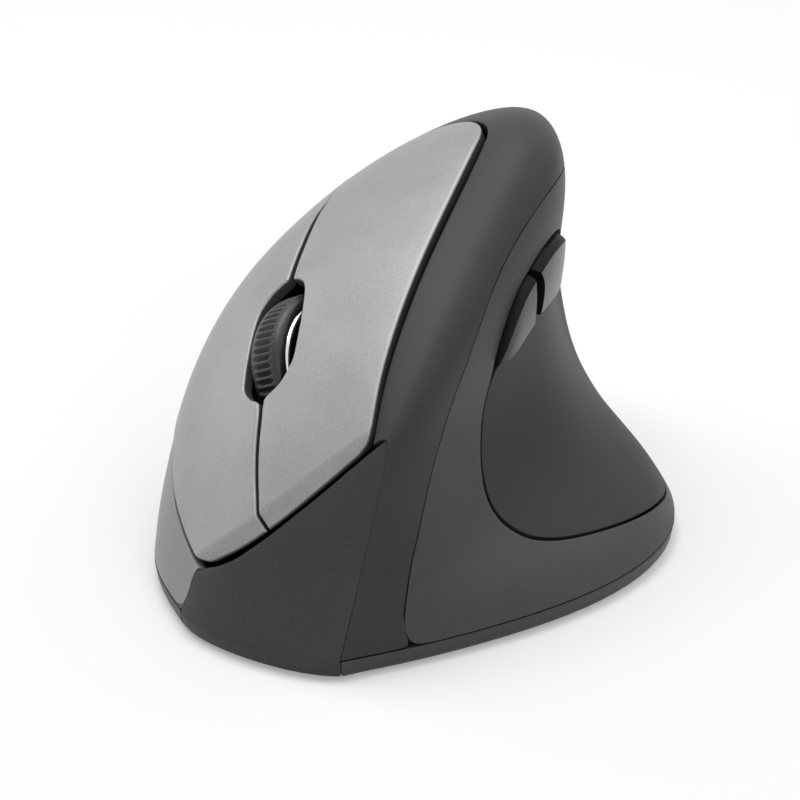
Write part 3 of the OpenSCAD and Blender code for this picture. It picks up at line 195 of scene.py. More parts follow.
# Rows of a shell: net coordinates of one edge, of the other edge, and a drop below the shell's height.
# The joints between fixed shells are drawn finer than their slack in the part, and those of the main
# buttons a little wider.
split_half = 0.03
finger_seam = 2
ridge = 6
ridge_half = 0.028
panel_ridge = ridge - ridge_half
shell_ridge = ridge + ridge_half
primary_rows = np.array([
    [3.87 + split_half, 0.025, 5.6, 0.045, lip_drop],
    [3.872 + split_half, 0.075, 5.8, 0.08, 0.7 * lip_drop],
    [3.878 + split_half, 0.12, 5.9, 0.13, 0.3 * lip_drop],
    [3.89 + split_half, 0.17, 5.95, 0.2, 0],
    [4 + split_half, 0.34, panel_ridge, 0.34, 0],
    [4.28 + split_half, 0.85, panel_ridge, 0.82, 0],
    [4.36 + split_half, 1.03, panel_ridge, 1, 0],
    [4.4 + split_half, 1.1, panel_ridge, 1.07, 0],
    [4.52, 1.13, panel_ridge, 1.13, 0],
    [4.64, 1.175, panel_ridge, 1.2, 0],
    [4.745, 1.27, panel_ridge, 1.3, 0],
    [4.82, 1.39, panel_ridge, 1.42, 0],
    [4.862, 1.63, panel_ridge, 1.64, 0],
    [4.872, 1.84, panel_ridge, 1.84, 0],
    [4.857, 2.04, panel_ridge, 2.02, 0],
    [4.82, 2.16, panel_ridge, 2.14, 0],
    [4.75, 2.235, panel_ridge, 2.24, 0],
    [4.67 + split_half, 2.265, panel_ridge, 2.3, 0],
    [4.66 + split_half, 2.33, panel_ridge, 2.38, 0],
    [4.645 + split_half, 2.8, panel_ridge, 2.8, 0],
    [4.585 + split_half, 3.35, panel_ridge, 3.3, 0],
    [4.56 + split_half, 3.72, panel_ridge, 3.56, 0],
    [4.55 + split_half, 3.96, 5.963, 3.74, 0.1],
    [4.55 + split_half, 4.14, 5.91, 3.91, 0.2],
    [4.55 + split_half, 4.28, 5.79, 4.07, 0.3],
    [4.55 + split_half, 4.39, 5.6, 4.22, 0.4],
    [4.55 + split_half, 4.48, 5.36, 4.36, 0.5]])
secondary_rows = np.array([
    [2.5, 0.005, 3.87 - split_half, 0.025, lip_drop],
    [2.31, 0.022, 3.872 - split_half, 0.075, 0.7 * lip_drop],
    [2.18, 0.07, 3.878 - split_half, 0.12, 0.3 * lip_drop],
    [2.1, 0.14, 3.89 - split_half, 0.17, 0],
    [2.13, 0.35, 4 - split_half, 0.34, 0],
    [2.27, 0.85, 4.28 - split_half, 0.85, 0],
    [2.32, 1.03, 4.36 - split_half, 1.03, 0],
    [2.345, 1.11, 4.36 - split_half, 1.11, 0],
    [2.37, 1.18, 4.235, 1.185, 0],
    [2.4, 1.28, 4.17, 1.3, 0],
    [2.43, 1.42, 4.195, 1.43, 0],
    [2.46, 1.62, 4.248, 1.62, 0],
    [2.45, 1.9, 4.31, 1.9, 0],
    [2.43, 2.06, 4.36, 2.06, 0],
    [2.42, 2.2, 4.45, 2.185, 0],
    [2.41, 2.3, 4.56, 2.255, 0],
    [2.4, 2.36, 4.645 - split_half, 2.29, 0],
    [2.4, 2.42, 4.66 - split_half, 2.36, 0],
    [2.4, 2.82, 4.645 - split_half, 2.8, 0],
    [2.4, 3.35, 4.585 - split_half, 3.35, 0],
    [2.4, 3.95, 4.55 - split_half, 3.95, 0.1],
    [2.41, 4.28, 4.55 - split_half, 4.3, 0.25],
    [2.46, 4.42, 4.55 - split_half, 4.48, 0.4]])
finger_rows = np.array([
    [0.75, 0.004, 1.94, 0.004, 0],
    [0.42, 0.012, 1.94, 0.05, 0],
    [0.22, 0.04, 1.945, 0.1, 0],
    [0.09, 0.1, 1.96, 0.17, 0],
    [0.02, 0.2, 2.02, 0.35, 0],
    [0, 0.88, 2.18, 0.88, 0],
    [0, 1.3, 2.33, 1.3, 0],
    [0, 1.7, 2.39, 1.7, 0],
    [0, 2.4, 2.34, 2.4, 0],
    [0, 3.4, 2.34, 3.4, 0],
    [0, 4.2, 2.36, 4.2, 0],
    [0, 5.3, 2.34, 5.3, 0],
    [0, 6.4, 2.26, 6.4, 0],
    [0, 7.4, 2.2, 7.4, 0],
    [0, 8, 2.18, 8, 0]])
main_rows = np.array([
    [shell_ridge, 0.004, 13, 0.004, 0],
    [shell_ridge, 0.14, 13, 0.3, 0],
    [shell_ridge, 0.26, 13, 0.55, 0],
    [shell_ridge, 0.36, 12.93, 0.7, 0],
    [shell_ridge, 0.46, 12.45, 0.675, 0],
    [shell_ridge, 0.56, 11.8, 0.68, 0],
    [shell_ridge, 0.7, 10.85, 0.8, 0],
    [shell_ridge, 0.86, 10.1, 0.97, 0],
    [shell_ridge, 1.05, 9.12, 1.18, 0],
    [shell_ridge, 1.25, 8.5, 1.4, 0],
    [shell_ridge, 1.5, 8.08, 1.7, 0],
    [shell_ridge, 1.75, 7.83, 1.92, 0],
    [shell_ridge, 2.05, 7.6, 2.2, 0],
    [shell_ridge, 2.4, 7.47, 2.5, 0],
    [shell_ridge, 2.8, 7.46, 2.9, 0],
    [shell_ridge, 3.15, 7.53, 3.25, 0],
    [shell_ridge, 3.45, 7.62, 3.6, 0],
    [6.022, 3.62, 7.67, 3.75, 0],
    [6.012, 3.78, 7.71, 3.92, 0],
    [5.955, 3.95, 7.75, 4.1, 0],
    [5.83, 4.12, 7.79, 4.35, 0],
    [5.63, 4.28, 7.83, 4.6, 0],
    [5.37, 4.42, 7.86, 4.8, 0],
    [4.76, 4.54, 7.9, 5.05, 0],
    [3.7, 4.53, 7.95, 5.3, 0],
    [2.75, 4.49, 8, 5.55, 0],
    [2.44, 4.52, 8.05, 5.75, 0],
    [2.4, 5, 8.1, 6.05, 0],
    [2.38, 5.5, 8.2, 6.4, 0],
    [2.33, 6.2, 8.33, 6.8, 0],
    [2.28, 7, 8.48, 7.3, 0],
    [2.24, 7.6, 8.65, 7.7, 0],
    [2.22, 8, 8.78, 8, 0]])
thumb_rows = np.array([
    [8.1, 1.72, 9.33, 2.2, 0],
    [7.85, 1.94, 9.1, 2.28, 0],
    [7.62, 2.22, 8.87, 2.335, 0],
    [7.5, 2.52, 8.6, 2.44, 0],
    [7.485, 2.75, 8.36, 2.61, 0],
    [7.505, 2.98, 8.24, 2.83, 0],
    [7.56, 3.27, 8.24, 3.2, 0],
    [7.645, 3.57, 8.3, 3.5, 0],
    [7.73, 3.87, 8.41, 3.83, 0],
    [7.8, 4.22, 8.58, 4.12, 0],
    [7.86, 4.62, 8.8, 4.4, 0],
    [7.94, 5.1, 8.89, 4.78, 0],
    [8.03, 5.57, 8.87, 5.25, 0],
    [8.13, 6, 8.83, 5.7, 0],
    [8.25, 6.42, 8.82, 6.1, 0],
    [8.4, 6.87, 8.84, 6.5, 0],
    [8.58, 7.32, 8.95, 6.8, 0],
    [8.75, 7.7, 9.15, 6.95, 0],
    [8.9, 8, 9.4, 7, 0],
    [9.8, 8, 9.9, 7, 0],
    [11, 8, 10.6, 6.95, 0],
    [12.3, 8, 11.3, 6.82, 0],
    [13, 8, 11.9, 6.6, 0],
    [13, 7.4, 12.33, 6.23, 0],
    [13, 6.7, 12.6, 5.76, 0],
    [13, 6, 12.74, 5.28, 0],
    [13, 5.3, 12.76, 4.78, 0],
    [13, 4.7, 12.66, 4.36, 0],
    [13, 4.2, 12.52, 4.05, 0],
    [13, 3.7, 12.34, 3.63, 0],
    [13, 3.2, 12.14, 3.16, 0],
    [13, 2.7, 11.95, 2.75, 0],
    [13, 2.25, 11.77, 2.45, 0],
    [13, 1.75, 11.53, 2.23, 0],
    [13, 1.2, 11.2, 2.1, 0],
    [12.95, 0.8, 10.85, 2.03, 0],
    [12.5, 0.69, 10.5, 2.02, 0],
    [11.8, 0.7, 10.2, 2.06, 0],
    [10.87, 0.82, 9.95, 2.1, 0],
    [10.12, 0.99, 9.78, 2.125, 0],
    [9.14, 1.2, 9.62, 2.145, 0],
    [8.52, 1.42, 9.46, 2.17, 0]])
rest_rows = np.array([
    [9.06, 2.42, 9.2, 2.3, 0],
    [9.07, 2.53, 9.45, 2.225, 0],
    [9.08, 2.65, 9.8, 2.17, 0],
    [9.09, 2.78, 10.2, 2.105, 0],
    [9.09, 2.92, 10.53, 2.075, 0],
    [9.09, 3.06, 10.84, 2.085, 0],
    [9.1, 3.2, 11.17, 2.16, 0],
    [9.13, 3.34, 11.48, 2.29, 0],
    [9.17, 3.5, 11.71, 2.5, 0],
    [9.21, 3.66, 11.89, 2.79, 0],
    [9.23, 3.82, 12.08, 3.2, 0],
    [9.23, 3.98, 12.28, 3.67, 0],
    [9.21, 4.15, 12.46, 4.09, 0],
    [9.15, 4.33, 12.6, 4.4, 0],
    [9.05, 4.55, 12.7, 4.8, 0],
    [8.96, 4.85, 12.68, 5.26, 0],
    [8.91, 5.25, 12.54, 5.72, 0],
    [8.88, 5.7, 12.28, 6.18, 0],
    [8.88, 6.1, 11.86, 6.54, 0],
    [8.92, 6.46, 11.28, 6.76, 0],
    [9.03, 6.74, 10.6, 6.89, 0],
    [9.2, 6.88, 9.92, 6.94, 0]])
# The ridge shell and the thumb rest reach closer to the thumb panel than in the part
panel_reach = 0.012
main_rows[4:, 2] += panel_reach
rest_growth = 0.01
rest_middle = [10.5, 3.8]
rest_rows[:, 2:4] += rest_growth * (rest_rows[:, 2:4] - rest_middle)
forward_rows = np.array([
    [8.92, 2.38, 8.96, 2.42, 0],
    [8.67, 2.47, 8.99, 2.52, 0],
    [8.42, 2.62, 9, 2.64, 0],
    [8.3, 2.78, 9, 2.78, 0],
    [8.28, 2.89, 9, 2.92, 0],
    [8.28, 2.98, 9, 3.05, 0]])
back_rows = np.array([
    [8.28, 3.06, 8.99, 3.2, 0],
    [8.285, 3.23, 9.04, 3.38, 0],
    [8.325, 3.46, 9.09, 3.58, 0],
    [8.42, 3.73, 9.13, 3.8, 0],
    [8.55, 3.96, 9.13, 4.02, 0],
    [8.78, 4.16, 9.02, 4.18, 0]])
sill_rows = np.array([
    [0, 0.23, 0.015, 0.225, 0],
    [0, 0.11, 0.075, 0.112, 0],
    [0, 0.04, 0.2, 0.047, 0],
    [0.1, 0.006, 0.4, 0.016, 0],
    [0.35, 0.005, 0.7, 0.007, 0]])

# Points of a mesh that are closer than this, in mm, become one
weld = 0.002


def new_object(name, vertices, faces, materials, kinds=None, crease=40):
    """Mesh object from points in mm, smooth except at edges sharper than crease degrees."""
    mesh = bpy.data.meshes.new(name)
    mesh.from_pydata((np.asarray(vertices) * MM).tolist(), [], faces)
    for m in materials:
        mesh.materials.append(m)
    if kinds is not None:
        mesh.polygons.foreach_set("material_index", kinds)
    bm = bmesh.new()
    bm.from_mesh(mesh)
    bmesh.ops.remove_doubles(bm, verts=bm.verts, dist=weld * MM)
    bmesh.ops.dissolve_degenerate(bm, edges=bm.edges, dist=weld * MM)
    bmesh.ops.recalc_face_normals(bm, faces=bm.faces)
    bm.to_mesh(mesh)
    bm.free()
    mesh.shade_smooth()
    mesh.set_sharp_from_angle(angle=math.radians(crease))
    made = bpy.data.objects.new(name, mesh)
    scene.collection.objects.link(made)
    return made


def closed_shell(name, outer, inner, materials, closed=False, wall_kind=0, crease=40, band=0):
    """Closed mesh between two grids. wall_kind is the material of the walls between them, and of the
    outer grid's first columns up to band."""
    n, m = outer.shape[:2]
    shift = n * m
    spans = n if closed else n - 1
    faces, kinds = [], []

    def add(kind, *corners):
        faces.append(corners)
        kinds.append(kind)

    for i in range(spans):
        a, b = i * m, ((i + 1) % n) * m
        for j in range(m - 1):
            add(wall_kind if j < band else 0, a + j, a + j + 1, b + j + 1, b + j)
            add(0, a + j + shift, b + j + shift, b + j + 1 + shift, a + j + 1 + shift)
        e = m - 1
        add(wall_kind, a, b, b + shift, a + shift)
        add(wall_kind, a + e, a + e + shift, b + e + shift, b + e)
    if not closed:
        z = (n - 1) * m
        for j in range(m - 1):
            add(wall_kind, j, j + shift, j + 1 + shift, j + 1)
            add(wall_kind, z + j, z + j + 1, z + j + 1 + shift, z + j + shift)
    points = np.concatenate([outer.reshape(-1, 3), inner.reshape(-1, 3)])
    return new_object(name, points, faces, materials, kinds, crease)


def above_seam(p):
    p[..., 2] = np.maximum(p[..., 2], seam_z)
    return p


# Steps of a rounded edge as shares of its radius, and how many radii the next row of the grid keeps from it
round_steps = 1 - np.cos(np.radians([0, 22.5, 45, 67.5, 90]))
clear_radii = 1.4
# Largest share of a row's length that one rounded edge takes
round_limit = 0.4


def rounded_grid(rows, steps, columns, radius, closed=False, ends=(True, True)):
    """Net coordinates of a shell's grid, its rows' drops, and the drop of its rounded edges in mm."""
    spans = len(rows) if closed else len(rows) - 1
    spots = np.arange(spans * steps + (0 if closed else 1)) / steps
    if not closed:
        middle = at((rows[:, 0] + rows[:, 2]) / 2, (rows[:, 1] + rows[:, 3]) / 2)
        first = np.linalg.norm(middle[1] - middle[0])
        last = np.linalg.norm(middle[-1] - middle[-2])
        insets = round_steps * radius
        if ends[0]:
            inner = spots[spots > clear_radii * radius / first]
            spots = np.concatenate([insets / first, inner])
        if ends[1]:
            inner = spots[spots < spans - clear_radii * radius / last]
            spots = np.concatenate([inner, spans - insets[::-1] / last])
    fine = row_curve(rows, spots, closed)
    one, two = fine[:, None, :2], fine[:, None, 2:4]
    steps_over = np.linspace(0, 1, 9)[None, :, None]
    line = mix(one, two, steps_over)
    line = at(line[..., 0], line[..., 1])
    length = np.linalg.norm(np.diff(line, axis=1), axis=-1).sum(1)
    reach = np.minimum(radius, round_limit * length) / length
    shares = np.concatenate([
        round_steps[None, :] * reach[:, None],
        mix(reach[:, None], 1 - reach[:, None], np.linspace(0, 1, columns + 1)[None, 1:-1]),
        1 - round_steps[None, ::-1] * reach[:, None]], axis=1)
    uv = mix(one, two, shares[..., None])
    side = np.minimum(shares, 1 - shares) * length[:, None]
    end = np.full(len(spots), radius)
    if not closed:
        if ends[0]:
            end = np.minimum(end, spots * first)
        if ends[1]:
            end = np.minimum(end, (spans - spots) * last)
    dx = np.clip(radius - side, 0, None)
    dy = np.clip(radius - end, 0, None)[:, None]
    rounding = radius - np.sqrt(np.clip(radius ** 2 - dx ** 2 - dy ** 2, 0, None))
    return uv, fine[:, 4], rounding


def shell(name, rows, steps, columns, materials, proud=0.0, proud_low=0.0, depth=wall, radius=0.25,
          closed=False, ends=(True, True), wall_kind=0):
    """Shell on the skin between the two edges of its rows, with rounded edges. It stands out by proud_low
    at the finger seam and by proud at the ridge."""
    uv, drop, rounding = rounded_grid(rows, steps, columns, radius, closed, ends)
    point, normal = skin(uv[..., 0], uv[..., 1])
    over = np.clip((uv[..., 0] - finger_seam) / (ridge - finger_seam), 0, 1)
    lift = mix(proud_low, proud, over) - drop[:, None] - rounding - sink
    outer = above_seam(point + normal * lift[..., None])
    inner = above_seam(point - normal * depth)
    return closed_shell(name, outer, inner, materials, closed, wall_kind)


# Section of a thumb button, in shares of its width and of its rise
bevel_width = 0.11
bevel_steps = 5
bevel_foot = 0.2
bevel_top = 0.84
crown_reach = 0.6
crown_rise = 0.16
lower_edge = 0.95
lower_steps = [0.965, 0.98, 0.99, 1]
lower_drop = 0.16
# Its low tip, and the reach of its notch, in shares of its length
tip_reach = 0.5
tip_height = 0.3
notch_reach = 1 / 3


def quarter(x):
    """Rise from 0 to 1 that starts steep and ends level."""
    return np.sin(np.clip(x, 0, 1) * math.pi / 2)


def thumb_button(name, rows, steps, columns, materials, tip, notch):
    """Button with a bevel along its upper edge, a low tip, and a notch in the end away from the tip."""
    spots = np.arange((len(rows) - 1) * steps + 1) / steps
    fine = row_curve(rows, spots)
    b = np.concatenate([np.linspace(0, bevel_width, bevel_steps + 1),
                        np.linspace(bevel_width, lower_edge, columns)[1:], lower_steps])[None, :]
    a = np.linspace(0, 1, len(fine))[:, None]
    uv = mix(fine[:, None, :2], fine[:, None, 2:4], b[..., None])
    end = np.clip(1 - np.abs(a - 1 + tip) / notch_reach, 0, 1)
    uv[..., 1] += 4 * notch * b * (1 - b) * end
    bevel = mix(bevel_foot, bevel_top, quarter(b / bevel_width))
    crown = crown_rise * quarter((b - bevel_width) / crown_reach)
    lower = lower_drop * np.clip((b - lower_edge) / (1 - lower_edge), 0, 1) ** 2
    away = np.clip(np.abs(a - tip) / tip_reach, 0, 1)
    along = mix(tip_height, 1, np.sqrt(1 - (1 - away) ** 2))
    rise = thumb_button_rise * (bevel + crown - lower) * along
    point, normal = skin(uv[..., 0], uv[..., 1])
    outer = point + normal * rise[..., None]
    inner = point - normal * thumb_button_depth
    # The bevel and the walls take the second material, a painted shade
    return closed_shell(name, outer, inner, materials, wall_kind=1, crease=30, band=bevel_steps)


# Front cover: a patch between the lip, the base edge, the finger seam and the thumb corner. The gaps are
# the height of the gap below the lip, in mm, at places along the lip.
lip_places = [0, 0.1, 0.2, 0.3, 0.45, 0.6, 0.8, 1]
lip_gaps = [0.9, 2, 3.1, 3.7, 3.6, 3.2, 3.1, 3.5]
lip_chamfer = 1
# Distance of the cover's ends from its corners, how far its foot goes past them, and the miter inside it,
# as shares of its width
cover_edge = 0.002
cover_foot = 0.003
cover_miter = 0.09
# Steps of the rounded bottom edge: share of its height and share of its width
edge_steps = [(0, 1), (0.25, 0.45), (1, 0)]
cover_columns = 64
cover_rows = 32


def nose(s):
    s = np.asarray(s, float)[..., None]
    return ((1 - s) ** 3 * at(0, 0) + 3 * (1 - s) ** 2 * s * nose_points[0]
            + 3 * (1 - s) * s ** 2 * nose_points[1] + s ** 3 * at(last_column, 0))


def lip(s):
    return at(mix(finger_seam, ridge, np.asarray(s, float)), np.zeros_like(s, float))


def face(s, t):
    low, high = nose(s), lip(s)
    left = at(finger_seam * t, np.zeros_like(t))
    right = at(mix(last_column, ridge, t), np.zeros_like(t))
    s, t = s[..., None], t[..., None]
    corners = mix(mix(nose(0.0), nose(1.0), s), mix(lip(0.0), lip(1.0), s), t)
    return mix(low, high, t) + mix(left, right, s) - corners


def face_normal(s, t):
    e = 0.01
    a, b = np.clip(s, 0, 1 - e), np.clip(t, 0, 1 - e)
    return unit(np.cross(face(a + e, b) - face(a, b), face(a, b + e) - face(a, b)))


def flat_unit(n):
    return unit(n * [1, 1, 0])


def front_cover(name, materials):
    crease = seam_z - seam_gap - base_rim
    low = [(mix(foot_thickness, crease, up), base_bevel * share) for up, share in edge_steps]
    rise = np.linspace(0, 1, cover_rows + 1)

    def grid(edge, below, inside):
        places = np.linspace(0, 1, cover_columns + 1)
        s = mix(edge, 1 - edge, places)
        n = flat_unit(face_normal(s, np.zeros_like(s)))
        foot = nose(s if inside else mix(-cover_foot, 1 + cover_foot, places))
        skirts = []
        for z, back_by in low:
            p = foot - n * (wall if inside else back_by + sink)
            p[:, 2] = z
            skirts.append(p)
        gap = np.interp(s, lip_places, lip_gaps) + below
        top = 1 - gap / np.linalg.norm(lip(s) - nose(s), axis=-1)
        ss = np.broadcast_to(s, (cover_rows + 1, cover_columns + 1))
        tt = rise[:, None] * top[None, :]
        p = face(ss, tt)
        m = face_normal(ss, tt)
        m[0] = flat_unit(m[0])
        p = p - m * (wall if inside else sink)
        return np.concatenate([np.array(skirts), p])

    return closed_shell(name, grid(cover_edge, 0, False), grid(cover_miter, lip_chamfer, True), materials)


# Frame of the wheel: x across it to the thumb side, y along the slot to the rear, z out of the buttons. The
# wheel's middle and the slot's ends are net coordinates.
wheel_middle = (4.53, 1.7)
slot_front = (4.32, 1.2)
slot_rear = (4.62, 2.22)
wheel_spot, wheel_out = skin(*wheel_middle)
slot_line = at(*slot_rear) - at(*slot_front)
wheel_along = unit(slot_line - np.dot(slot_line, wheel_out) * wheel_out)
wheel_across = np.cross(wheel_along, wheel_out)
wheel_centre = wheel_spot - (wheel_radius - wheel_proud) * wheel_out


def turned(name, profile, steps, materials, grooves=None, crease=40):
    """Ring turned about the wheel's axle from a closed profile of (across, radius) in mm."""
    profile = np.asarray(profile, float)
    a = np.linspace(0, 2 * math.pi, steps, endpoint=False)[:, None]
    x = np.broadcast_to(profile[:, 0], (steps, len(profile)))
    r = np.broadcast_to(profile[:, 1], (steps, len(profile)))
    if grooves is not None:
        r = r - grooves(a, x)
    points = (wheel_centre + x[..., None] * wheel_across + (r * np.sin(a))[..., None] * wheel_along
              + (r * np.cos(a))[..., None] * wheel_out)
    n = len(profile)
    faces = []
    for i in range(steps):
        here, there = i * n, (i + 1) % steps * n
        for j in range(n):
            k = (j + 1) % n
            faces.append((here + j, here + k, there + k, there + j))
    return new_object(name, points.reshape(-1, 3), faces, materials, crease=crease)


# Materials: share of the fine grain in the tone, the noise values between which tone and gloss run, how far
# the roughness goes each way, and the bump's strength
grain_share = 0.75
tone_from, tone_to = 0.4, 0.6
gloss_from, gloss_to = 0.3, 0.7
gloss_reach = 0.05
bump_strength = 0.5
coat_rough = 0.2


def linear(value):
    """Linear colour of screen values up to 255."""
    shares = [c / 255 for c in value]
    return np.array([((c + 0.055) / 1.055) ** 2.4 if c > 0.04 else c / 12.92 for c in shares])


def material(name, colour, rough, grain=0.3, height=0.01, mottle=0.05, patch=14.0, metallic=0.0, coat=0.0,
             specular=0.5):
    """Moulded or painted surface: fine grain in bump, roughness and tone, and slow patches in tone."""
    made = bpy.data.materials.new(name)
    made.use_nodes = True
    nodes, links = made.node_tree.nodes, made.node_tree.links
    shader = nodes["Principled BSDF"]
    shader.inputs["Metallic"].default_value = metallic
    shader.inputs["Specular IOR Level"].default_value = specular
    shader.inputs["Coat Weight"].default_value = coat
    shader.inputs["Coat Roughness"].default_value = coat_rough
    coords = nodes.new("ShaderNodeTexCoord")
    fine = nodes.new("ShaderNodeTexNoise")
    fine.inputs["Scale"].default_value = 1 / (grain * MM)
    fine.inputs["Detail"].default_value = 3
    slow = nodes.new("ShaderNodeTexNoise")
    slow.inputs["Scale"].default_value = 1 / (patch * MM)
    slow.inputs["Detail"].default_value = 2
    for noise in (fine, slow):
        links.new(coords.outputs["Object"], noise.inputs["Vector"])
    slow_part = nodes.new("ShaderNodeMath")
    slow_part.operation = "MULTIPLY"
    slow_part.inputs[1].default_value = 1 - grain_share
    links.new(slow.outputs["Fac"], slow_part.inputs[0])
    both = nodes.new("ShaderNodeMath")
    both.operation = "MULTIPLY_ADD"
    both.inputs[1].default_value = grain_share
    links.new(fine.outputs["Fac"], both.inputs[0])
    links.new(slow_part.outputs[0], both.inputs[2])
    tone = nodes.new("ShaderNodeValToRGB")
    base = linear(colour)
    dark, light = tone.color_ramp.elements
    dark.position = tone_from
    dark.color = (*(base * (1 - mottle)), 1)
    light.position = tone_to
    light.color = (*np.minimum(base * (1 + mottle), 1), 1)
    links.new(both.outputs[0], tone.inputs["Fac"])
    links.new(tone.outputs["Color"], shader.inputs["Base Color"])
    gloss = nodes.new("ShaderNodeMapRange")
    gloss.inputs["From Min"].default_value = gloss_from
    gloss.inputs["From Max"].default_value = gloss_to
    gloss.inputs["To Min"].default_value = rough - gloss_reach
    gloss.inputs["To Max"].default_value = rough + gloss_reach
    links.new(fine.outputs["Fac"], gloss.inputs["Value"])
    links.new(gloss.outputs["Result"], shader.inputs["Roughness"])
    bump = nodes.new("ShaderNodeBump")
    bump.inputs["Strength"].default_value = bump_strength
    bump.inputs["Distance"].default_value = height * MM
    links.new(fine.outputs["Fac"], bump.inputs["Height"])
    links.new(bump.outputs["Normal"], shader.inputs["Normal"])
    return made


silver = material("silver_paint", (152, 153, 155), 0.44, grain=0.2, height=0.006, mottle=0.12, patch=9,
                  metallic=0.5)
# Walls and lip ends of the silver panels: partly the dark body under the silver paint, partly painted shade
# in the narrow joints
panel_body_and_painted_shade = material("panel_body_and_painted_shade", (62, 63, 65), 0.45)
grained = {"grain": 0.22, "height": 0.012, "specular": 0.3}
charcoal = material("charcoal_shell", (46, 47, 49), 0.5, mottle=0.22, **grained)
cover_dark = material("cover_shell", (54, 55, 57), 0.52, mottle=0.22, **grained)
thumb_grey = material("thumb_wall", (64, 65, 67), 0.5, mottle=0.18, **grained)
finger_grey = material("finger_wall", (140, 141, 143), 0.44, grain=0.2, height=0.008, mottle=0.1)
rubber = material("grip_rubber", (40, 41, 43), 0.6, grain=0.24, height=0.014, mottle=0.2, specular=0.3)
button_dark = material("thumb_button", (50, 51, 53), 0.3, grain=0.2, height=0.005, mottle=0.1)
# Near-black painted shade on the thumb buttons' upper bevels and walls
button_bevel_shade = material("thumb_button_bevel_shade", (20, 21, 22), 0.5, grain=0.2, height=0.004, specular=0.12)
base_dark = material("base_plastic", (50, 51, 53), 0.5, grain=0.3, height=0.014, mottle=0.06)
tyre_black = material("tyre_rubber", (32, 33, 34), 0.38, grain=0.25, height=0.008, mottle=0.08)
core_dark = material("wheel_core", (44, 45, 47), 0.4)
chrome = material("chrome_ring", (214, 216, 219), 0.14, grain=0.4, height=0.001, mottle=0.02, metallic=1.0)
steel = material("steel", (170, 172, 175), 0.3, grain=0.15, height=0.002, metallic=1.0)
inner_dark = material("inner_plastic", (30, 31, 32), 0.6)
board_dark = material("circuit_board", (24, 38, 32), 0.45, grain=0.8, height=0.01, mottle=0.15, patch=4)
switch_dark = material("switch_case", (28, 29, 31), 0.45)
plunger_pale = material("plunger", (196, 192, 182), 0.45)
glide = material("glide_foot", (34, 35, 36), 0.3, grain=0.5, height=0.003)
lens_clear = material("lens", (60, 72, 78), 0.12, grain=0.6, height=0.001, coat=0.5)
receiver_dark = material("receiver", (40, 41, 43), 0.4)
slider_grey = material("slider", (176, 178, 180), 0.4)
cell_wrap = material("battery_wrap", (70, 92, 62), 0.28, grain=0.6, height=0.002, mottle=0.04, coat=0.4)
cable_pale = material("ribbon", (120, 118, 112), 0.45, grain=0.5, height=0.004)

node_materials = {
    base_dark: ["base_plate", "battery_door"],
    glide: ["foot_front_finger", "foot_front_thumb", "foot_rear_finger", "foot_rear_thumb"],
    cell_wrap: ["battery"],
    inner_dark: ["battery_cradle", "inner_frame", "hinge_bracket", "primary_hinge", "secondary_hinge",
                 "primary_actuator", "secondary_actuator", "wheel_cradle", "thumb_bezel"],
    steel: ["contact_plate", "contact_spring", "hinge_pin", "wheel_axle", "case_screws"],
    receiver_dark: ["usb_receiver"],
    slider_grey: ["power_slider"],
    switch_dark: ["power_switch", "sensor", "primary_switch", "secondary_switch", "wheel_switch",
                  "wheel_encoder", "forward_switch", "back_switch"],
    board_dark: ["main_board", "button_board", "side_board"],
    lens_clear: ["sensor_lens"],
    plunger_pale: ["primary_plunger", "secondary_plunger", "wheel_plunger", "forward_plunger",
                   "back_plunger"],
    core_dark: ["wheel_hub"],
    cable_pale: ["ribbon_cable"]}
for look, names in node_materials.items():
    for name in names:
        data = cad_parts[name].data
        data.materials.clear()
        data.materials.append(look)


def place(piece, node, body):
    """Let a piece ride on a body and stand for a node, whose part is hidden."""
    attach(piece, body)
    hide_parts(node)


# Shells and buttons
# The silver panels' walls take the second material, partly dark body and partly painted shade
place(shell("primary_panel", primary_rows, 8, 44, [silver, panel_body_and_painted_shade], panel_proud, panel_proud_low,
            panel_depth, radius=0.35, wall_kind=1), "primary_button", "primary")
place(shell("secondary_panel", secondary_rows, 8, 44, [silver, panel_body_and_painted_shade], panel_proud, panel_proud_low,
            panel_depth, radius=0.35, wall_kind=1), "secondary_button", "secondary")
place(front_cover("nose_cover", [cover_dark]), "front_cover", "base")
place(shell("ridge_shell", main_rows, 6, 60, [charcoal], radius=0.2, ends=(True, False)),
      "main_shell", "base")
place(shell("finger_skirt", finger_rows, 10, 24, [finger_grey], radius=0.1, ends=(True, False)),
      "finger_panel", "base")
place(shell("thumb_wall", thumb_rows, 8, 28, [thumb_grey], radius=0.06, closed=True),
      "thumb_panel", "base")
place(shell("thumb_grip", rest_rows, 8, 52, [rubber], radius=0.1), "thumb_rest", "base")
forward_cap = thumb_button("forward_cap", forward_rows, 12, 32, [button_dark, button_bevel_shade], tip=0, notch=0)
place(forward_cap, "forward_button", "forward")
back_cap = thumb_button("back_cap", back_rows, 12, 32, [button_dark, button_bevel_shade], tip=1, notch=0.08)
place(back_cap, "back_button", "back")
# Corner of the base below the finger panel's rounded end
corner = shell("corner_sill", sill_rows, 6, 6, [base_dark], depth=0.9, radius=0.08)
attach(corner, "base")

# Wheel: a tyre with rounded shoulders and short grooves, and a bright ring on each side
half = tyre_width / 2
tread_edge = 10.2
shoulder_flat = 3
shoulder_round = 0.4
steps_per_rib = 10
groove_reach = 2.2
groove_fade = 1.2
groove_sharp = 1.4
tread = [(half * s, mix(tread_edge, wheel_radius, (1 - abs(s) ** shoulder_flat) ** shoulder_round))
         for s in np.linspace(-1, 1, 33)]


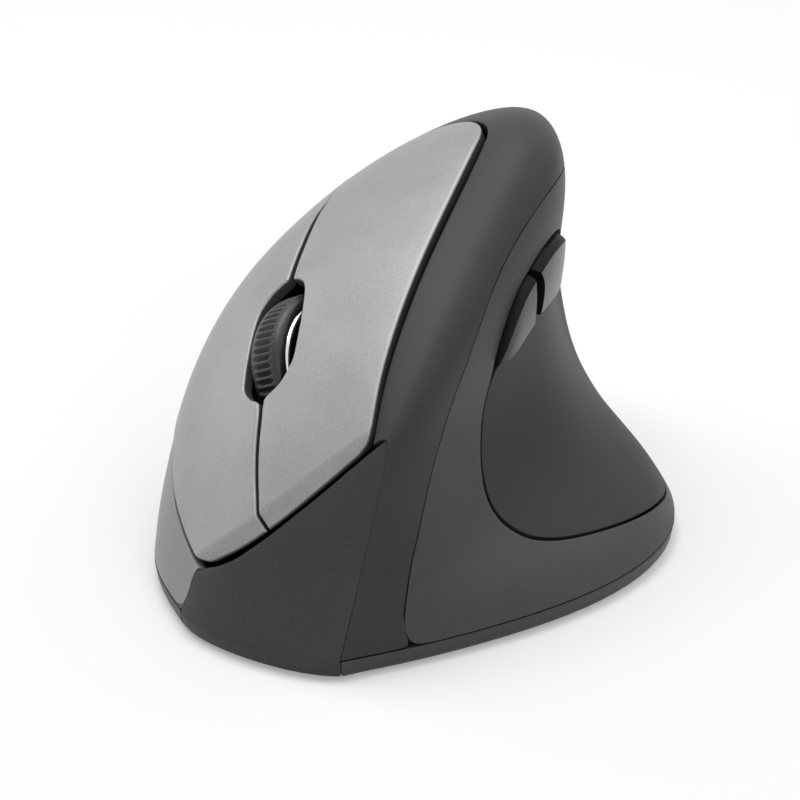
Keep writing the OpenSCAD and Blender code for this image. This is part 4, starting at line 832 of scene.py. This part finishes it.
def grooves(a, x):
    """Depth of the tyre's grooves, which fade out before its shoulders."""
    ripple = (0.5 - 0.5 * np.cos(tyre_ribs * a)) ** groove_sharp
    inside = np.clip((groove_reach - np.abs(x)) / groove_fade, 0, 1)
    return rib_depth * ripple * inside ** 2 * (3 - 2 * inside)


section = [(-half, rim_radius), *tread, (half, rim_radius)]
place(turned("wheel_tread", section, tyre_ribs * steps_per_rib, [tyre_black], grooves), "wheel_tyre", "wheel")
# Profile of a ring: share of its thickness, and radius past the rim's in mm
ring_profile = [(0, -1.6), (0.5, -1.6), (1, -1.35), (1, 0.1), (0.5, 0.48), (0, 0.6)]
ring_steps = 144
ring_sides = ((1, "chrome_thumb", "wheel_ring_thumb"), (-1, "chrome_finger", "wheel_ring_finger"))
for side, name, node in ring_sides:
    ring = [((half + ring_thickness * share) * side, rim_radius + past) for share, past in ring_profile]
    place(turned(name, ring, ring_steps, [chrome], crease=50), node, "wheel")

# Floor, lights and world
floor_reach = 4
floor_corners = [(x * floor_reach, y * floor_reach, 0) for x, y in ((-1, -1), (1, -1), (1, 1), (-1, 1))]
floor_mesh = bpy.data.meshes.new("floor")
floor_mesh.from_pydata(floor_corners, [], [(0, 1, 2, 3)])
floor = bpy.data.objects.new("floor", floor_mesh)
scene.collection.objects.link(floor)


def seen_directly(nodes, links):
    """1 for rays of the camera, of gloss and of glass, and 0 for the light that the object gets."""
    path = nodes.new("ShaderNodeLightPath")
    first = nodes.new("ShaderNodeMath")
    first.operation = "MAXIMUM"
    second = nodes.new("ShaderNodeMath")
    second.operation = "MAXIMUM"
    links.new(path.outputs["Is Camera Ray"], first.inputs[0])
    links.new(path.outputs["Is Glossy Ray"], first.inputs[1])
    links.new(first.outputs[0], second.inputs[0])
    links.new(path.outputs["Is Transmission Ray"], second.inputs[1])
    return second.outputs[0]


# Paper: a diffuse part that takes the shadow, and a glow that brings the lit floor up to white
paper_tone = 0.74
paper_glow = 0.28
paper = bpy.data.materials.new("paper")
paper.use_nodes = True
nodes, links = paper.node_tree.nodes, paper.node_tree.links
nodes.clear()
out = nodes.new("ShaderNodeOutputMaterial")
diffuse = nodes.new("ShaderNodeBsdfDiffuse")
diffuse.inputs["Color"].default_value = (paper_tone, paper_tone, paper_tone, 1)
glow = nodes.new("ShaderNodeEmission")
glow.inputs["Color"].default_value = (paper_glow, paper_glow, paper_glow, 1)
links.new(seen_directly(nodes, links), glow.inputs["Strength"])
blend = nodes.new("ShaderNodeAddShader")
links.new(diffuse.outputs[0], blend.inputs[0])
links.new(glow.outputs[0], blend.inputs[1])
links.new(blend.outputs[0], out.inputs["Surface"])
floor_mesh.materials.append(paper)

ambient = 0.22
world = bpy.data.worlds.new("studio")
scene.world = world
world.use_nodes = True
nodes, links = world.node_tree.nodes, world.node_tree.links
sky = nodes["Background"]
sky.inputs["Color"].default_value = (1, 1, 1, 1)
level = nodes.new("ShaderNodeMapRange")
level.inputs["To Min"].default_value = ambient
level.inputs["To Max"].default_value = 1.0
links.new(seen_directly(nodes, links), level.inputs["Value"])
links.new(level.outputs["Result"], sky.inputs["Strength"])


def softbox(name, place_at, aim, size, watts):
    """Area lamp at a place in metres, turned to another."""
    data = bpy.data.lights.new(name, "AREA")
    data.shape = "RECTANGLE"
    data.size, data.size_y = size
    data.energy = watts
    lamp = bpy.data.objects.new(name, data)
    lamp.location = place_at
    lamp.rotation_euler = (Vector(place_at) - Vector(aim)).to_track_quat("Z", "Y").to_euler()
    scene.collection.objects.link(lamp)


softbox("key", (-0.2, 0.05, 0.85), (0, 0, 0.03), (0.6, 0.6), 4.4)
softbox("crown", (0.35, 0.35, 0.7), (0, 0, 0.05), (1.0, 0.9), 2.2)
softbox("left", (-0.85, 0.1, 0.35), (0, 0, 0.03), (0.4, 0.6), 0.9)
softbox("front", (0.6, -0.6, 0.4), (0, 0, 0.03), (0.5, 0.5), 1.4)

scene.view_settings.view_transform = "Standard"
